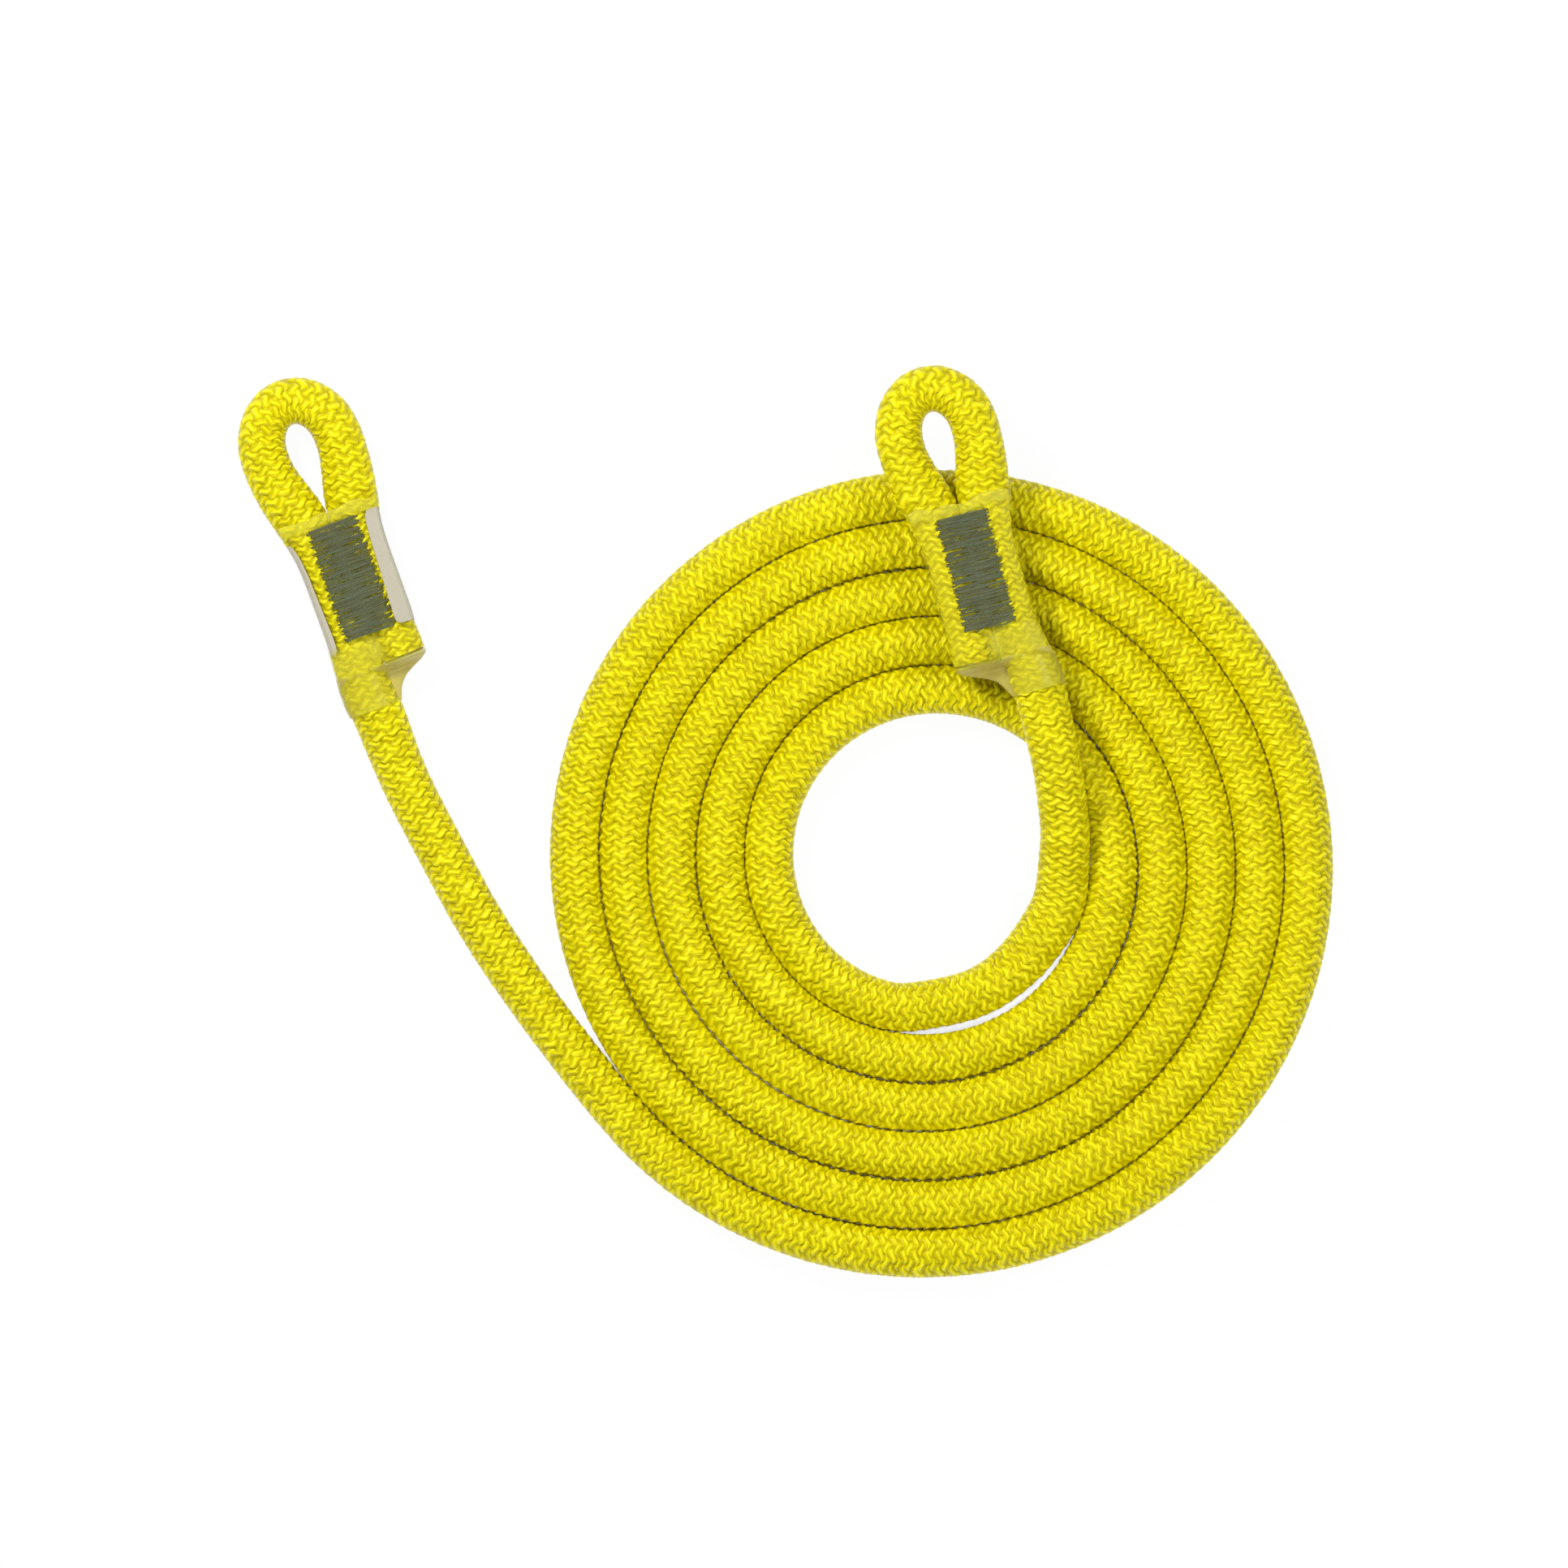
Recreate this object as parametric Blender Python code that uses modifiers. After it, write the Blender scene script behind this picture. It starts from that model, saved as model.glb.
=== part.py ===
"""Eye-to-eye climbing rope: a flat coil, a free lead and two sewn eyes in clear sleeves.

Metres, +Z up. The rope lies on the plane z = 0. Its route runs from eye A's tail round eye A's loop, down
the lead, inwards along the coil, up over the coil's turns, and round eye B's loop to eye B's tail. Each
stretch of rope is a braided sheath, modelled as a hollow tube, on a core that carries a marker tape. The
rope is built around the coil's centre and at the end the whole is centred on the origin.
"""
import math
from collections import namedtuple

import bmesh
import bpy
from mathutils import Matrix, Vector

MM = 0.001

# ---- Fits
TOUCH_GAP = 0.3 * MM  # left between pieces that touch on the real rope

# ---- Rope. Its tube has eight flat sides, and a radius here is that of the flats.
ROPE_RADIUS = 5.85 * MM
SHEATH_WALL = 1.4 * MM
TAPE_WIDTH = 2.2 * MM
TAPE_THICKNESS = 0.3 * MM
ROPE_SIDES = 8
END_STRAIGHT = 2.0 * MM  # straight rope on each side of a place where two stretches meet

# ---- Coil, seen from above: the rope runs anticlockwise and inwards
COIL_START_RADIUS = 98.1 * MM
COIL_START_ANGLE = math.radians(222)
COIL_TURNS = 5.1
COIL_TURN_GAP = 0.3 * MM
RINGS_PER_TURN = 36
ROUTE_RINGS = 2  # rings from one point of the routes below to the next

# ---- Lead, from eye A's sleeve to the coil: X and Y from the coil's start, in millimetres
LEAD_ROUTE = (
    (-63.2, 103.3),
    (-56.4, 86.0),
    (-47.2, 68.0),
    (-37.3, 50.0),
    (-25.2, 32.0),
    (-11.0, 13.2),
)

# ---- Inner run, from the coil's end up over its turns: degrees past the coil's end, inset from the turn
# outside it in pitches, and lift in rope diameters. It ends at eye B's sleeve.
INNER_ROUTE = (
    (30.0, 1.127, 0.0),
    (54.0, 1.150, 0.0),
    (78.0, 1.080, 0.07),
    (90.0, 1.047, 0.17),
    (102.0, 1.030, 0.35),
    (114.0, 0.900, 0.58),
    (124.0, 0.777, 0.76),
    (133.6, 0.560, 0.95),
    (146.0, 0.156, 1.10),
)
INNER_END = (159.0, -0.52)
ROUTE_STEER = 10.0 * MM  # how far past a stretch's end lies the point that steers its curve there

# ---- Sewn eyes. Each is laid out in a frame of its own: the origin is the stitching's centre, +Y points to
# the loop, and the legs lie side by side along X.
LEG_RADIUS = 5.2 * MM  # where the stitching and the sleeve squeeze the rope
LEG_GAP = 0.6 * MM
LOOP_RADIUS = 9.3 * MM  # of the rope's centreline
LOOP_REACH = 36.5 * MM  # from the stitching's centre to the loop's centre
LOOP_ROPE_RADIUS = 5.7 * MM
LOOP_RINGS = 8
SHOULDER_RINGS = 3
TAIL_REACH = 22.0 * MM
TAIL_SPLAY = 1.4 * MM
TIP_LENGTH = 0.9 * MM
TIP_TAPER = 1.0 * MM

EXIT_OFFSET_A = 4.9 * MM  # from the eye's middle to where its rope leaves the sleeve
EXIT_OFFSET_B = 7.2 * MM

STITCH_LENGTH = 28.4 * MM
STITCH_WIDTH = 13.0 * MM
STITCH_PAD = 0.45 * MM  # height of the threads on the rope
STITCH_WEB = 0.9 * MM  # width of the row of threads that goes through a leg
STITCH_END_MARGIN = 1.0 * MM  # straight leg past the stitching

SLEEVE_WALL = 0.4 * MM
SLEEVE_TOP = 17.6 * MM
SLEEVE_END = 32.4 * MM
SLEEVE_NECK_RINGS = 6
NECK_OVAL = 1.1  # half-height of the neck's end, over the rope's half-height and its gap
FILM_FACETING = 1.02  # a film's flat facets lie this much inside its ellipse
NECK_LEAN = 0.3  # share of the standing leg's sideways shift that is reached where the neck starts
NECK_CENTRES = 0.6 * MM  # between the centres of the neck's two ends where it closes on the rope
QUARTER_STEPS = 5

LABEL_THICKNESS = 0.2 * MM
LABEL_LENGTH = 30.0 * MM
LABEL_REACH_TAIL = math.radians(66)  # how far each edge comes round to the front
LABEL_REACH_STANDING = math.radians(35)

Eye = namedtuple("Eye", "name turn hand exit_offset has_label")
EYE_A = Eye("eye_a", math.radians(19.9), -1, EXIT_OFFSET_A, True)
EYE_B = Eye("eye_b", math.radians(15.0), 1, EXIT_OFFSET_B, False)

# ---- What follows from the dimensions
ROPE_DIAMETER = 2 * ROPE_RADIUS
COIL_PITCH = ROPE_DIAMETER + COIL_TURN_GAP
HALF_SIDE_ANGLE = math.pi / ROPE_SIDES
CORE_RADIUS = ROPE_RADIUS - SHEATH_WALL - TOUCH_GAP
TAPE_FLAT = TAPE_THICKNESS + TOUCH_GAP  # depth of the core's flat under the tape
LEG_OFFSET = LEG_RADIUS + LEG_GAP / 2
PAD_BASE = LEG_RADIUS + TOUCH_GAP
PAD_TOP = PAD_BASE + STITCH_PAD
NECK_START = TAIL_REACH + TIP_LENGTH + 3 * TOUCH_GAP
NECK_HEIGHT = NECK_OVAL * (ROPE_RADIUS + TOUCH_GAP)

Point = namedtuple("Point", "place radius")  # radius is the rope's own, across its flats


# ---- Scene and helpers


def clear_scene():
    for old in list(bpy.data.objects):
        bpy.data.objects.remove(old, do_unlink=True)


def new_collection(name):
    collection = bpy.data.collections.new(name)
    bpy.context.scene.collection.children.link(collection)
    return collection


def add_object(name, data, collection, material=None):
    made = bpy.data.objects.new(name, data)
    collection.objects.link(made)
    if material:
        data.materials.clear()
        data.materials.append(material)
    return made


def new_material(name, colour, roughness, metallic=0.0, alpha=1.0):
    made = bpy.data.materials.new(name)
    made.use_nodes = True
    shader = made.node_tree.nodes["Principled BSDF"]
    shader.inputs["Base Color"].default_value = (*colour, 1.0)
    shader.inputs["Roughness"].default_value = roughness
    shader.inputs["Metallic"].default_value = metallic
    shader.inputs["Alpha"].default_value = alpha
    made.diffuse_color = (*colour, alpha)
    return made


def ease(t):
    """0 to 1 with level ends."""
    return t * t * (3 - 2 * t)


def blend(a, b, t):
    return a + (b - a) * t


def as_mesh(curve_object, collection, material):
    """The curve's surface as a welded mesh object of the same name, in the curve's place."""
    graph = bpy.context.evaluated_depsgraph_get()
    mesh = bpy.data.meshes.new_from_object(curve_object.evaluated_get(graph))
    place = curve_object.matrix_world.copy()
    name = curve_object.name
    old = curve_object.data
    bpy.data.objects.remove(curve_object)
    bpy.data.curves.remove(old)
    welded = bmesh.new()
    welded.from_mesh(mesh)
    bmesh.ops.remove_doubles(welded, verts=welded.verts, dist=0.001 * MM)
    bmesh.ops.recalc_face_normals(welded, faces=welded.faces)
    welded.to_mesh(mesh)
    welded.free()
    mesh.name = name
    made = add_object(name, mesh, collection, material)
    made.matrix_world = place
    return made


def cut(target, cutter):
    boolean = target.modifiers.new("cut_" + cutter.name, "BOOLEAN")
    boolean.operation = "DIFFERENCE"
    boolean.solver = "EXACT"
    boolean.object = cutter


# ---- Inside of the sleeve: half-axes of the elliptical ends that go round a leg, along X and Z


def film_over(radius, height):
    """The half-axes of a film of that height that clears a leg of eight sides by TOUCH_GAP."""
    corner_x, corner_z = radius + TOUCH_GAP, radius * math.tan(HALF_SIDE_ANGLE) + TOUCH_GAP
    return Vector((FILM_FACETING * corner_x / math.sqrt(1 - (corner_z / height) ** 2), 0, height))


def label_inside():
    return film_over(LEG_RADIUS, PAD_TOP + TOUCH_GAP)


def sleeve_inside(eye):
    layer = LABEL_THICKNESS + TOUCH_GAP if eye.has_label else 0
    return label_inside() + Vector((layer, 0, layer))


def neck_inside():
    return film_over(ROPE_RADIUS, NECK_HEIGHT)


# ---- Route of the rope's centreline


def coil_place(past):
    """The spiral's centreline past radians of travel after the coil's start, and the way it runs there."""
    radius = COIL_START_RADIUS - COIL_PITCH * past / math.tau
    angle = COIL_START_ANGLE + past
    outward = Vector((math.cos(angle), math.sin(angle), 0))
    onward = Vector((-math.sin(angle), math.cos(angle), 0)) * radius - outward * COIL_PITCH / math.tau
    return outward * radius + Vector((0, 0, ROPE_RADIUS)), onward.normalized()


def inner_place(degrees, inset, lift):
    """A place on the inner run: see INNER_ROUTE. lift is a height here."""
    past = COIL_TURNS * math.tau + math.radians(degrees)
    turn_outside = COIL_START_RADIUS - COIL_PITCH * (past / math.tau - 1)
    radius = turn_outside - inset * COIL_PITCH
    angle = COIL_START_ANGLE + past
    return Vector((math.cos(angle) * radius, math.sin(angle) * radius, ROPE_RADIUS + lift))


def smooth_through(places, per_gap):
    """A Catmull-Rom curve through places[1:-1], held up by the floor; the first and last only steer it."""
    found = []
    for a, b, c, d in zip(places, places[1:], places[2:], places[3:]):
        for i in range(per_gap):
            t = i / per_gap
            square, cube = 2 * a - 5 * b + 4 * c - d, 3 * b - a - 3 * c + d
            found.append(0.5 * (2 * b + (c - a) * t + square * t**2 + cube * t**3))
    found.append(places[-2])
    for place in found:
        place.z = max(place.z, ROPE_RADIUS)
    return found


def square_ends(points, start_way, end_way):
    """Draws both ends back by half a touching gap, with a short straight so that the ends meet squarely."""
    first, last = points[0], points[-1]
    head = [first._replace(place=first.place + start_way * d) for d in (TOUCH_GAP / 2, END_STRAIGHT)]
    foot = [last._replace(place=last.place - end_way * d) for d in (END_STRAIGHT, TOUCH_GAP / 2)]
    return head + points[1:-1] + foot


def sleeve_half_height(eye):
    """From the eye's mid-plane to the outside of its sleeve."""
    return max(sleeve_inside(eye).z, neck_inside().z) + SLEEVE_WALL


def eye_frame(eye):
    """Places the eye's own frame so that its rope meets the lead or the inner run."""
    if eye is EYE_A:
        start, _ = coil_place(0)
        meet = Vector((*(start.xy + Vector(LEAD_ROUTE[0]) * MM), sleeve_half_height(eye)))
    else:
        meet = inner_place(*INNER_END, 0)
        meet.z = ROPE_DIAMETER + TOUCH_GAP + sleeve_half_height(eye)
    turned = Matrix.Rotation(eye.turn, 4, "Z")
    exit_place = Vector((eye.hand * eye.exit_offset, -SLEEVE_END, 0))
    return Matrix.Translation(meet - turned @ exit_place) @ turned


def eye_points(eye):
    """The rope in the eye's frame, from the sleeve's end round the loop to the tail."""
    straight = STITCH_LENGTH / 2 + STITCH_END_MARGIN
    right = [
        (eye.exit_offset, -SLEEVE_END, ROPE_RADIUS),
        (blend(LEG_OFFSET, eye.exit_offset, NECK_LEAN), -NECK_START, LEG_RADIUS),
        (LEG_OFFSET, -straight, LEG_RADIUS),
        (LEG_OFFSET, straight, LEG_RADIUS),
    ]
    for i in range(1, SHOULDER_RINGS):
        t = i / SHOULDER_RINGS
        x = blend(LEG_OFFSET, LOOP_RADIUS, ease(t))
        right.append((x, blend(straight, LOOP_REACH, t), blend(LEG_RADIUS, LOOP_ROPE_RADIUS, ease(t))))
    arc = []
    for i in range(LOOP_RINGS + 1):
        angle = math.pi * i / LOOP_RINGS
        x, y = LOOP_RADIUS * math.cos(angle), LOOP_REACH + LOOP_RADIUS * math.sin(angle)
        arc.append((x, y, LOOP_ROPE_RADIUS))
    left = [(-x, y, radius) for x, y, radius in reversed(right[2:])]
    left.append((-LEG_OFFSET - TAIL_SPLAY, -TAIL_REACH, LEG_RADIUS))
    return [Point(Vector((eye.hand * x, y, 0)), radius) for x, y, radius in right + arc + left]


def tail_way(eye):
    """The way the rope runs at its tail, in the eye's frame."""
    points = eye_points(eye)
    return (points[-1].place - points[-2].place).normalized()


def rope_stretches():
    """Each stretch's points by name, in order along the rope."""
    coil_length = COIL_TURNS * math.tau
    coil_start, start_way = coil_place(0)
    coil_end, end_way = coil_place(coil_length)
    stretches = {}

    frame_a, frame_b = eye_frame(EYE_A), eye_frame(EYE_B)
    way_a = -frame_a.col[1].xyz
    way_b = frame_b.col[1].xyz

    points = [p._replace(place=frame_a @ p.place) for p in reversed(eye_points(EYE_A))]
    stretches["eye_a"] = points[:1] + square_ends(points, way_a, way_a)[2:]

    offset = Vector((*coil_start.xy, 0))
    places = [offset + Vector((x * MM, y * MM, ROPE_RADIUS)) for x, y in LEAD_ROUTE]
    places[0].z = points[-1].place.z
    behind, beyond = places[0] - way_a * ROUTE_STEER, coil_start + start_way * ROUTE_STEER
    places = [behind, *places, coil_start, beyond]
    lead = [Point(place, ROPE_RADIUS) for place in smooth_through(places, ROUTE_RINGS)]
    stretches["lead"] = square_ends(lead, way_a, start_way)

    rings = round(COIL_TURNS * RINGS_PER_TURN)
    coil = [Point(coil_place(coil_length * i / rings)[0], ROPE_RADIUS) for i in range(rings + 1)]
    stretches["coil"] = square_ends(coil, start_way, end_way)

    points = [p._replace(place=frame_b @ p.place) for p in eye_points(EYE_B)]
    places = [inner_place(degrees, inset, lift * ROPE_DIAMETER) for degrees, inset, lift in INNER_ROUTE]
    behind, beyond = coil_end - end_way * ROUTE_STEER, points[0].place + way_b * ROUTE_STEER
    places = [behind, coil_end, *places, points[0].place, beyond]
    inner = [Point(place, ROPE_RADIUS) for place in smooth_through(places, ROUTE_RINGS)]
    stretches["inner_run"] = square_ends(inner, end_way, way_b)

    stretches["eye_b"] = square_ends(points, way_b, way_b)[:-2] + points[-1:]
    return stretches


# ---- Rope pieces


def rope_curve(name, points, scale, collection):
    """A poly curve along the points, whose thickness is scale(rope radius) at each."""
    curve = bpy.data.curves.new(name, "CURVE")
    curve.dimensions = "3D"
    curve.twist_mode = "Z_UP"
    spline = curve.splines.new("POLY")
    spline.points.add(len(points) - 1)
    for target, point in zip(spline.points, points):
        target.co = (*point.place, 1)
        target.radius = scale(point.radius)
    return add_object(name, curve, collection)


def add_sheath(name, points, parts, material):
    """A hollow tube: the braid."""
    tube = rope_curve(name, points, lambda radius: radius / ROPE_RADIUS, parts)
    tube.data.bevel_depth = ROPE_RADIUS / math.cos(HALF_SIDE_ANGLE)
    tube.data.bevel_resolution = (ROPE_SIDES - 4) // 2
    for point in tube.data.splines[0].points:
        point.tilt = HALF_SIDE_ANGLE
    sheath = as_mesh(tube, parts, material)
    wall = sheath.modifiers.new("wall", "SOLIDIFY")
    wall.thickness = SHEATH_WALL
    wall.offset = -1
    wall.use_even_offset = True
    return sheath


def section(name, corners, guides):
    """A closed outline that a curve sweeps."""
    curve = bpy.data.curves.new(name, "CURVE")
    curve.dimensions = "2D"
    spline = curve.splines.new("POLY")
    spline.points.add(len(corners) - 1)
    spline.use_cyclic_u = True
    for target, (x, y) in zip(spline.points, corners):
        target.co = (x, y, 0, 1)
    made = add_object(name, curve, guides)
    made.hide_render = True
    made.display_type = "WIRE"
    return made


def core_section(guides):
    """The core's outline, with the side under the tape cut back by TAPE_FLAT."""
    tape_corners = (ROPE_SIDES // 2 - 1, ROPE_SIDES // 2)
    corners = []
    for i in range(ROPE_SIDES):
        angle = math.tau * (i + 0.5) / ROPE_SIDES
        reach = CORE_RADIUS / math.cos(HALF_SIDE_ANGLE)
        x, y = reach * math.cos(angle), reach * math.sin(angle)
        if i in tape_corners:
            x, y = x + TAPE_FLAT, y + math.copysign(TAPE_FLAT / math.tan(2 * HALF_SIDE_ANGLE), y)
        corners.append((x, y))
    return section("core_section", corners, guides)


def tape_section(guides):
    near, far = CORE_RADIUS - TAPE_THICKNESS, CORE_RADIUS
    half = TAPE_WIDTH / 2
    return section("tape_section", [(-far, -half), (-near, -half), (-near, half), (-far, half)], guides)


def add_swept(name, points, outline, parts, material):
    """A solid that runs inside the sheath: it shrinks with the sheath's inside."""
    swept = rope_curve(name, points, lambda r: (r - SHEATH_WALL - TOUCH_GAP) / CORE_RADIUS, parts)
    swept.data.bevel_mode = "OBJECT"
    swept.data.bevel_object = outline
    swept.data.use_fill_caps = True
    return as_mesh(swept, parts, material)


# ---- Eye pieces


def extrude_outline(name, corners, length, place, collection, material):
    """A flat outline in the frame's XZ plane, drawn out along its Y by length, centred."""
    curve = bpy.data.curves.new(name, "CURVE")
    curve.dimensions = "2D"
    curve.fill_mode = "BOTH"
    curve.extrude = length / 2
    spline = curve.splines.new("POLY")
    spline.points.add(len(corners) - 1)
    spline.use_cyclic_u = True
    for target, (x, y) in zip(spline.points, corners):
        target.co = (x, y, 0, 1)
    made = add_object(name, curve, collection)
    made.matrix_world = place @ Matrix.Rotation(math.pi / 2, 4, "X")
    bpy.context.view_layer.update()
    return as_mesh(made, collection, material)


def add_thread(name, side, place, parts, material):
    """One of the two threads: a pad across both legs, and rows through them to the middle."""
    outer, inner = STITCH_WIDTH / 2, STITCH_WIDTH / 2 - STITCH_WEB
    middle = TOUCH_GAP / 2
    half = [(outer, PAD_TOP), (outer, middle), (inner, middle), (inner, PAD_BASE)]
    corners = [(x, side * z) for x, z in half] + [(-x, side * z) for x, z in reversed(half)]
    return extrude_outline(name, corners, STITCH_LENGTH, place, parts, material)


def add_slots(name, place, cutters):
    """The slots that the rows of threads take through the legs."""
    bm = bmesh.new()
    width = STITCH_WEB + 2 * TOUCH_GAP
    for side in (-1, 1):
        middle = Matrix.Translation((side * (STITCH_WIDTH - STITCH_WEB) / 2, 0, 0))
        size = Matrix.Diagonal((width, STITCH_LENGTH + 2 * TOUCH_GAP, 4 * LEG_RADIUS, 1))
        bmesh.ops.create_cube(bm, size=1, matrix=middle @ size)
    mesh = bpy.data.meshes.new(name)
    bm.to_mesh(mesh)
    bm.free()
    slots = add_object(name, mesh, cutters)
    slots.matrix_world = place
    slots.hide_render = True
    slots.display_type = "WIRE"
    return slots


def film_ring(eye, standing_x, tail_x, half_axes, tail_start, standing_end):
    """A film's outline in XZ round both legs: from angle tail_start on the tail's front, round behind, to
    angle standing_end on the standing leg's front. Both x are distances from the middle."""
    ring = []
    behind = -math.pi / 2
    for centre, side, first, last in (
        (tail_x, -1, tail_start, behind),
        (standing_x, 1, behind, standing_end),
    ):
        count = math.ceil(abs(last - first) / (math.pi / 2) * QUARTER_STEPS - 0.01)
        for i in range(count + 1):
            angle = blend(first, last, i / count)
            x = side * (centre + half_axes.x * math.cos(angle))
            ring.append((eye.hand * x, half_axes.z * math.sin(angle)))
    return ring


def sleeve_stations(eye):
    """(y, standing leg's x, tail's x, inside half-axes) down the sleeve."""
    body, neck = sleeve_inside(eye), neck_inside()
    stations = [
        (SLEEVE_TOP, LEG_OFFSET, LEG_OFFSET, body),
        (-STITCH_LENGTH / 2 - STITCH_END_MARGIN, LEG_OFFSET, LEG_OFFSET, body),
    ]
    splayed = LEG_OFFSET + TAIL_SPLAY
    closed = NECK_CENTRES - eye.exit_offset
    for i in range(SLEEVE_NECK_RINGS + 1):
        t = i / SLEEVE_NECK_RINGS
        standing = blend(blend(LEG_OFFSET, eye.exit_offset, NECK_LEAN), eye.exit_offset, t)
        tail = blend(closed, splayed, (1 - t) ** 2)
        stations.append((-blend(NECK_START, SLEEVE_END, t), standing, tail, body.lerp(neck, t)))
    return stations


def add_sleeve(name, eye, place, parts, material):
    """Clear film: a loft from two legs' outline to one leg's, with a wall."""
    bm = bmesh.new()
    skins = []
    for layer in (0, SLEEVE_WALL):
        thicker = Vector((layer, 0, layer))
        rings = []
        for y, standing, tail, inside in sleeve_stations(eye):
            outline = film_ring(eye, standing, tail, inside + thicker, math.pi / 2, math.pi / 2)
            rings.append([bm.verts.new((x, y, z)) for x, z in outline])
        skins.append(rings)
    inner, outer = skins
    pairs = list(zip(outer, outer[1:])) + list(zip(inner, inner[1:]))
    pairs += [(inner[0], outer[0]), (outer[-1], inner[-1])]
    for a, b in pairs:
        for i in range(len(a)):
            j = (i + 1) % len(a)
            bm.faces.new((a[i], a[j], b[j], b[i]))
    bmesh.ops.recalc_face_normals(bm, faces=bm.faces)
    mesh = bpy.data.meshes.new(name)
    bm.to_mesh(mesh)
    bm.free()
    sleeve = add_object(name, mesh, parts, material)
    sleeve.matrix_world = place
    return sleeve


def add_label(name, eye, place, parts, material):
    """A strip wrapped round the legs' back, with both long edges on the front."""
    outline = film_ring(eye, LEG_OFFSET, LEG_OFFSET, label_inside(), LABEL_REACH_TAIL, LABEL_REACH_STANDING)
    bm = bmesh.new()
    rows = [[bm.verts.new((x, y, z)) for x, z in outline] for y in (-LABEL_LENGTH / 2, LABEL_LENGTH / 2)]
    for i in range(len(outline) - 1):
        bm.faces.new((rows[0][i], rows[0][i + 1], rows[1][i + 1], rows[1][i]))
    if eye.hand > 0:
        bmesh.ops.reverse_faces(bm, faces=bm.faces)
    mesh = bpy.data.meshes.new(name)
    bm.to_mesh(mesh)
    bm.free()
    label = add_object(name, mesh, parts, material)
    label.matrix_world = place
    thick = label.modifiers.new("thickness", "SOLIDIFY")
    thick.thickness = LABEL_THICKNESS
    thick.offset = 1
    thick.use_even_offset = True
    return label


def add_tip(name, eye, place, parts, material):
    """The tail's melted end."""
    end = eye_points(eye)[-1].place
    way = tail_way(eye)
    radius = LEG_RADIUS / math.cos(HALF_SIDE_ANGLE)
    bm = bmesh.new()
    bmesh.ops.create_cone(
        bm, cap_ends=True, segments=ROPE_SIDES, radius1=radius, radius2=radius - TIP_TAPER, depth=TIP_LENGTH
    )
    bmesh.ops.rotate(bm, verts=bm.verts, matrix=Matrix.Rotation(HALF_SIDE_ANGLE, 3, "Z"))
    mesh = bpy.data.meshes.new(name)
    bm.to_mesh(mesh)
    bm.free()
    tip = add_object(name, mesh, parts, material)
    middle = end + way * (TOUCH_GAP + TIP_LENGTH / 2)
    tip.matrix_world = place @ Matrix.Translation(middle) @ way.to_track_quat("Z", "Y").to_matrix().to_4x4()
    return tip


# ---- Assembly


def centre_on_origin(pieces, others):
    """Moves everything so that the pieces' box is centred over the origin. Heights stay as they are."""
    bpy.context.view_layer.update()
    graph = bpy.context.evaluated_depsgraph_get()
    corners = []
    for piece in pieces:
        evaluated = piece.evaluated_get(graph)
        corners += [evaluated.matrix_world @ Vector(corner) for corner in evaluated.bound_box]
    shift = Vector()
    for axis in range(2):
        values = [corner[axis] for corner in corners]
        shift[axis] = -(min(values) + max(values)) / 2
    for moved in [*pieces, *others]:
        moved.matrix_world = Matrix.Translation(shift) @ moved.matrix_world


def main():
    clear_scene()
    parts = new_collection("climbing_rope")
    cutters = new_collection("cutters")
    braid = new_material("braided_polyamide", (0.74, 0.67, 0.0), 0.45)
    yarn = new_material("twisted_core_yarn", (0.85, 0.84, 0.8), 0.6)
    tape = new_material("marker_tape", (0.1, 0.2, 0.6), 0.4)
    thread = new_material("polyester_thread", (0.16, 0.19, 0.13), 0.6)
    film = new_material("clear_film", (0.85, 0.87, 0.6), 0.25, alpha=0.35)
    paper = new_material("label_film", (0.8, 0.78, 0.75), 0.4)
    melted = new_material("melted_polyamide", (0.2, 0.16, 0.02), 0.35)

    core_outline, tape_outline = core_section(cutters), tape_section(cutters)
    for stretch, points in rope_stretches().items():
        add_sheath("sheath_" + stretch, points, parts, braid)
        add_swept("core_" + stretch, points, core_outline, parts, yarn)
        add_swept("marker_tape_" + stretch, points, tape_outline, parts, tape)

    for eye in (EYE_A, EYE_B):
        place = eye_frame(eye)
        slots = add_slots("thread_slots_" + eye.name, place, cutters)
        for layer in ("sheath_", "core_"):
            cut(parts.objects[layer + eye.name], slots)
        add_thread("needle_thread_" + eye.name, 1, place, parts, thread)
        add_thread("bobbin_thread_" + eye.name, -1, place, parts, thread)
        add_sleeve("clear_sleeve_" + eye.name, eye, place, parts, film)
        add_tip("melted_tip_" + eye.name, eye, place, parts, melted)
        if eye.has_label:
            add_label("label_" + eye.name, eye, place, parts, paper)

    bpy.context.view_layer.update()
    centre_on_origin(list(parts.objects), list(cutters.objects))


if __name__ == "__main__":
    main()
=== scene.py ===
"""Looks of an eye-to-eye climbing rope: braided sheath, sewn eyes, clear sleeves, blank label, melted ends.

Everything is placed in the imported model's frame. Lengths in the script are millimetres and become metres
where a mesh is made. The rope's route repeats the CAD model's: from eye A's tail round its loop, down the
lead, inwards along the coil, up over its turns, and round eye B's loop to eye B's tail.
"""
import math
from collections import namedtuple
from functools import partial

import bpy
import numpy as np
from mathutils import Matrix, Vector


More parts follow.
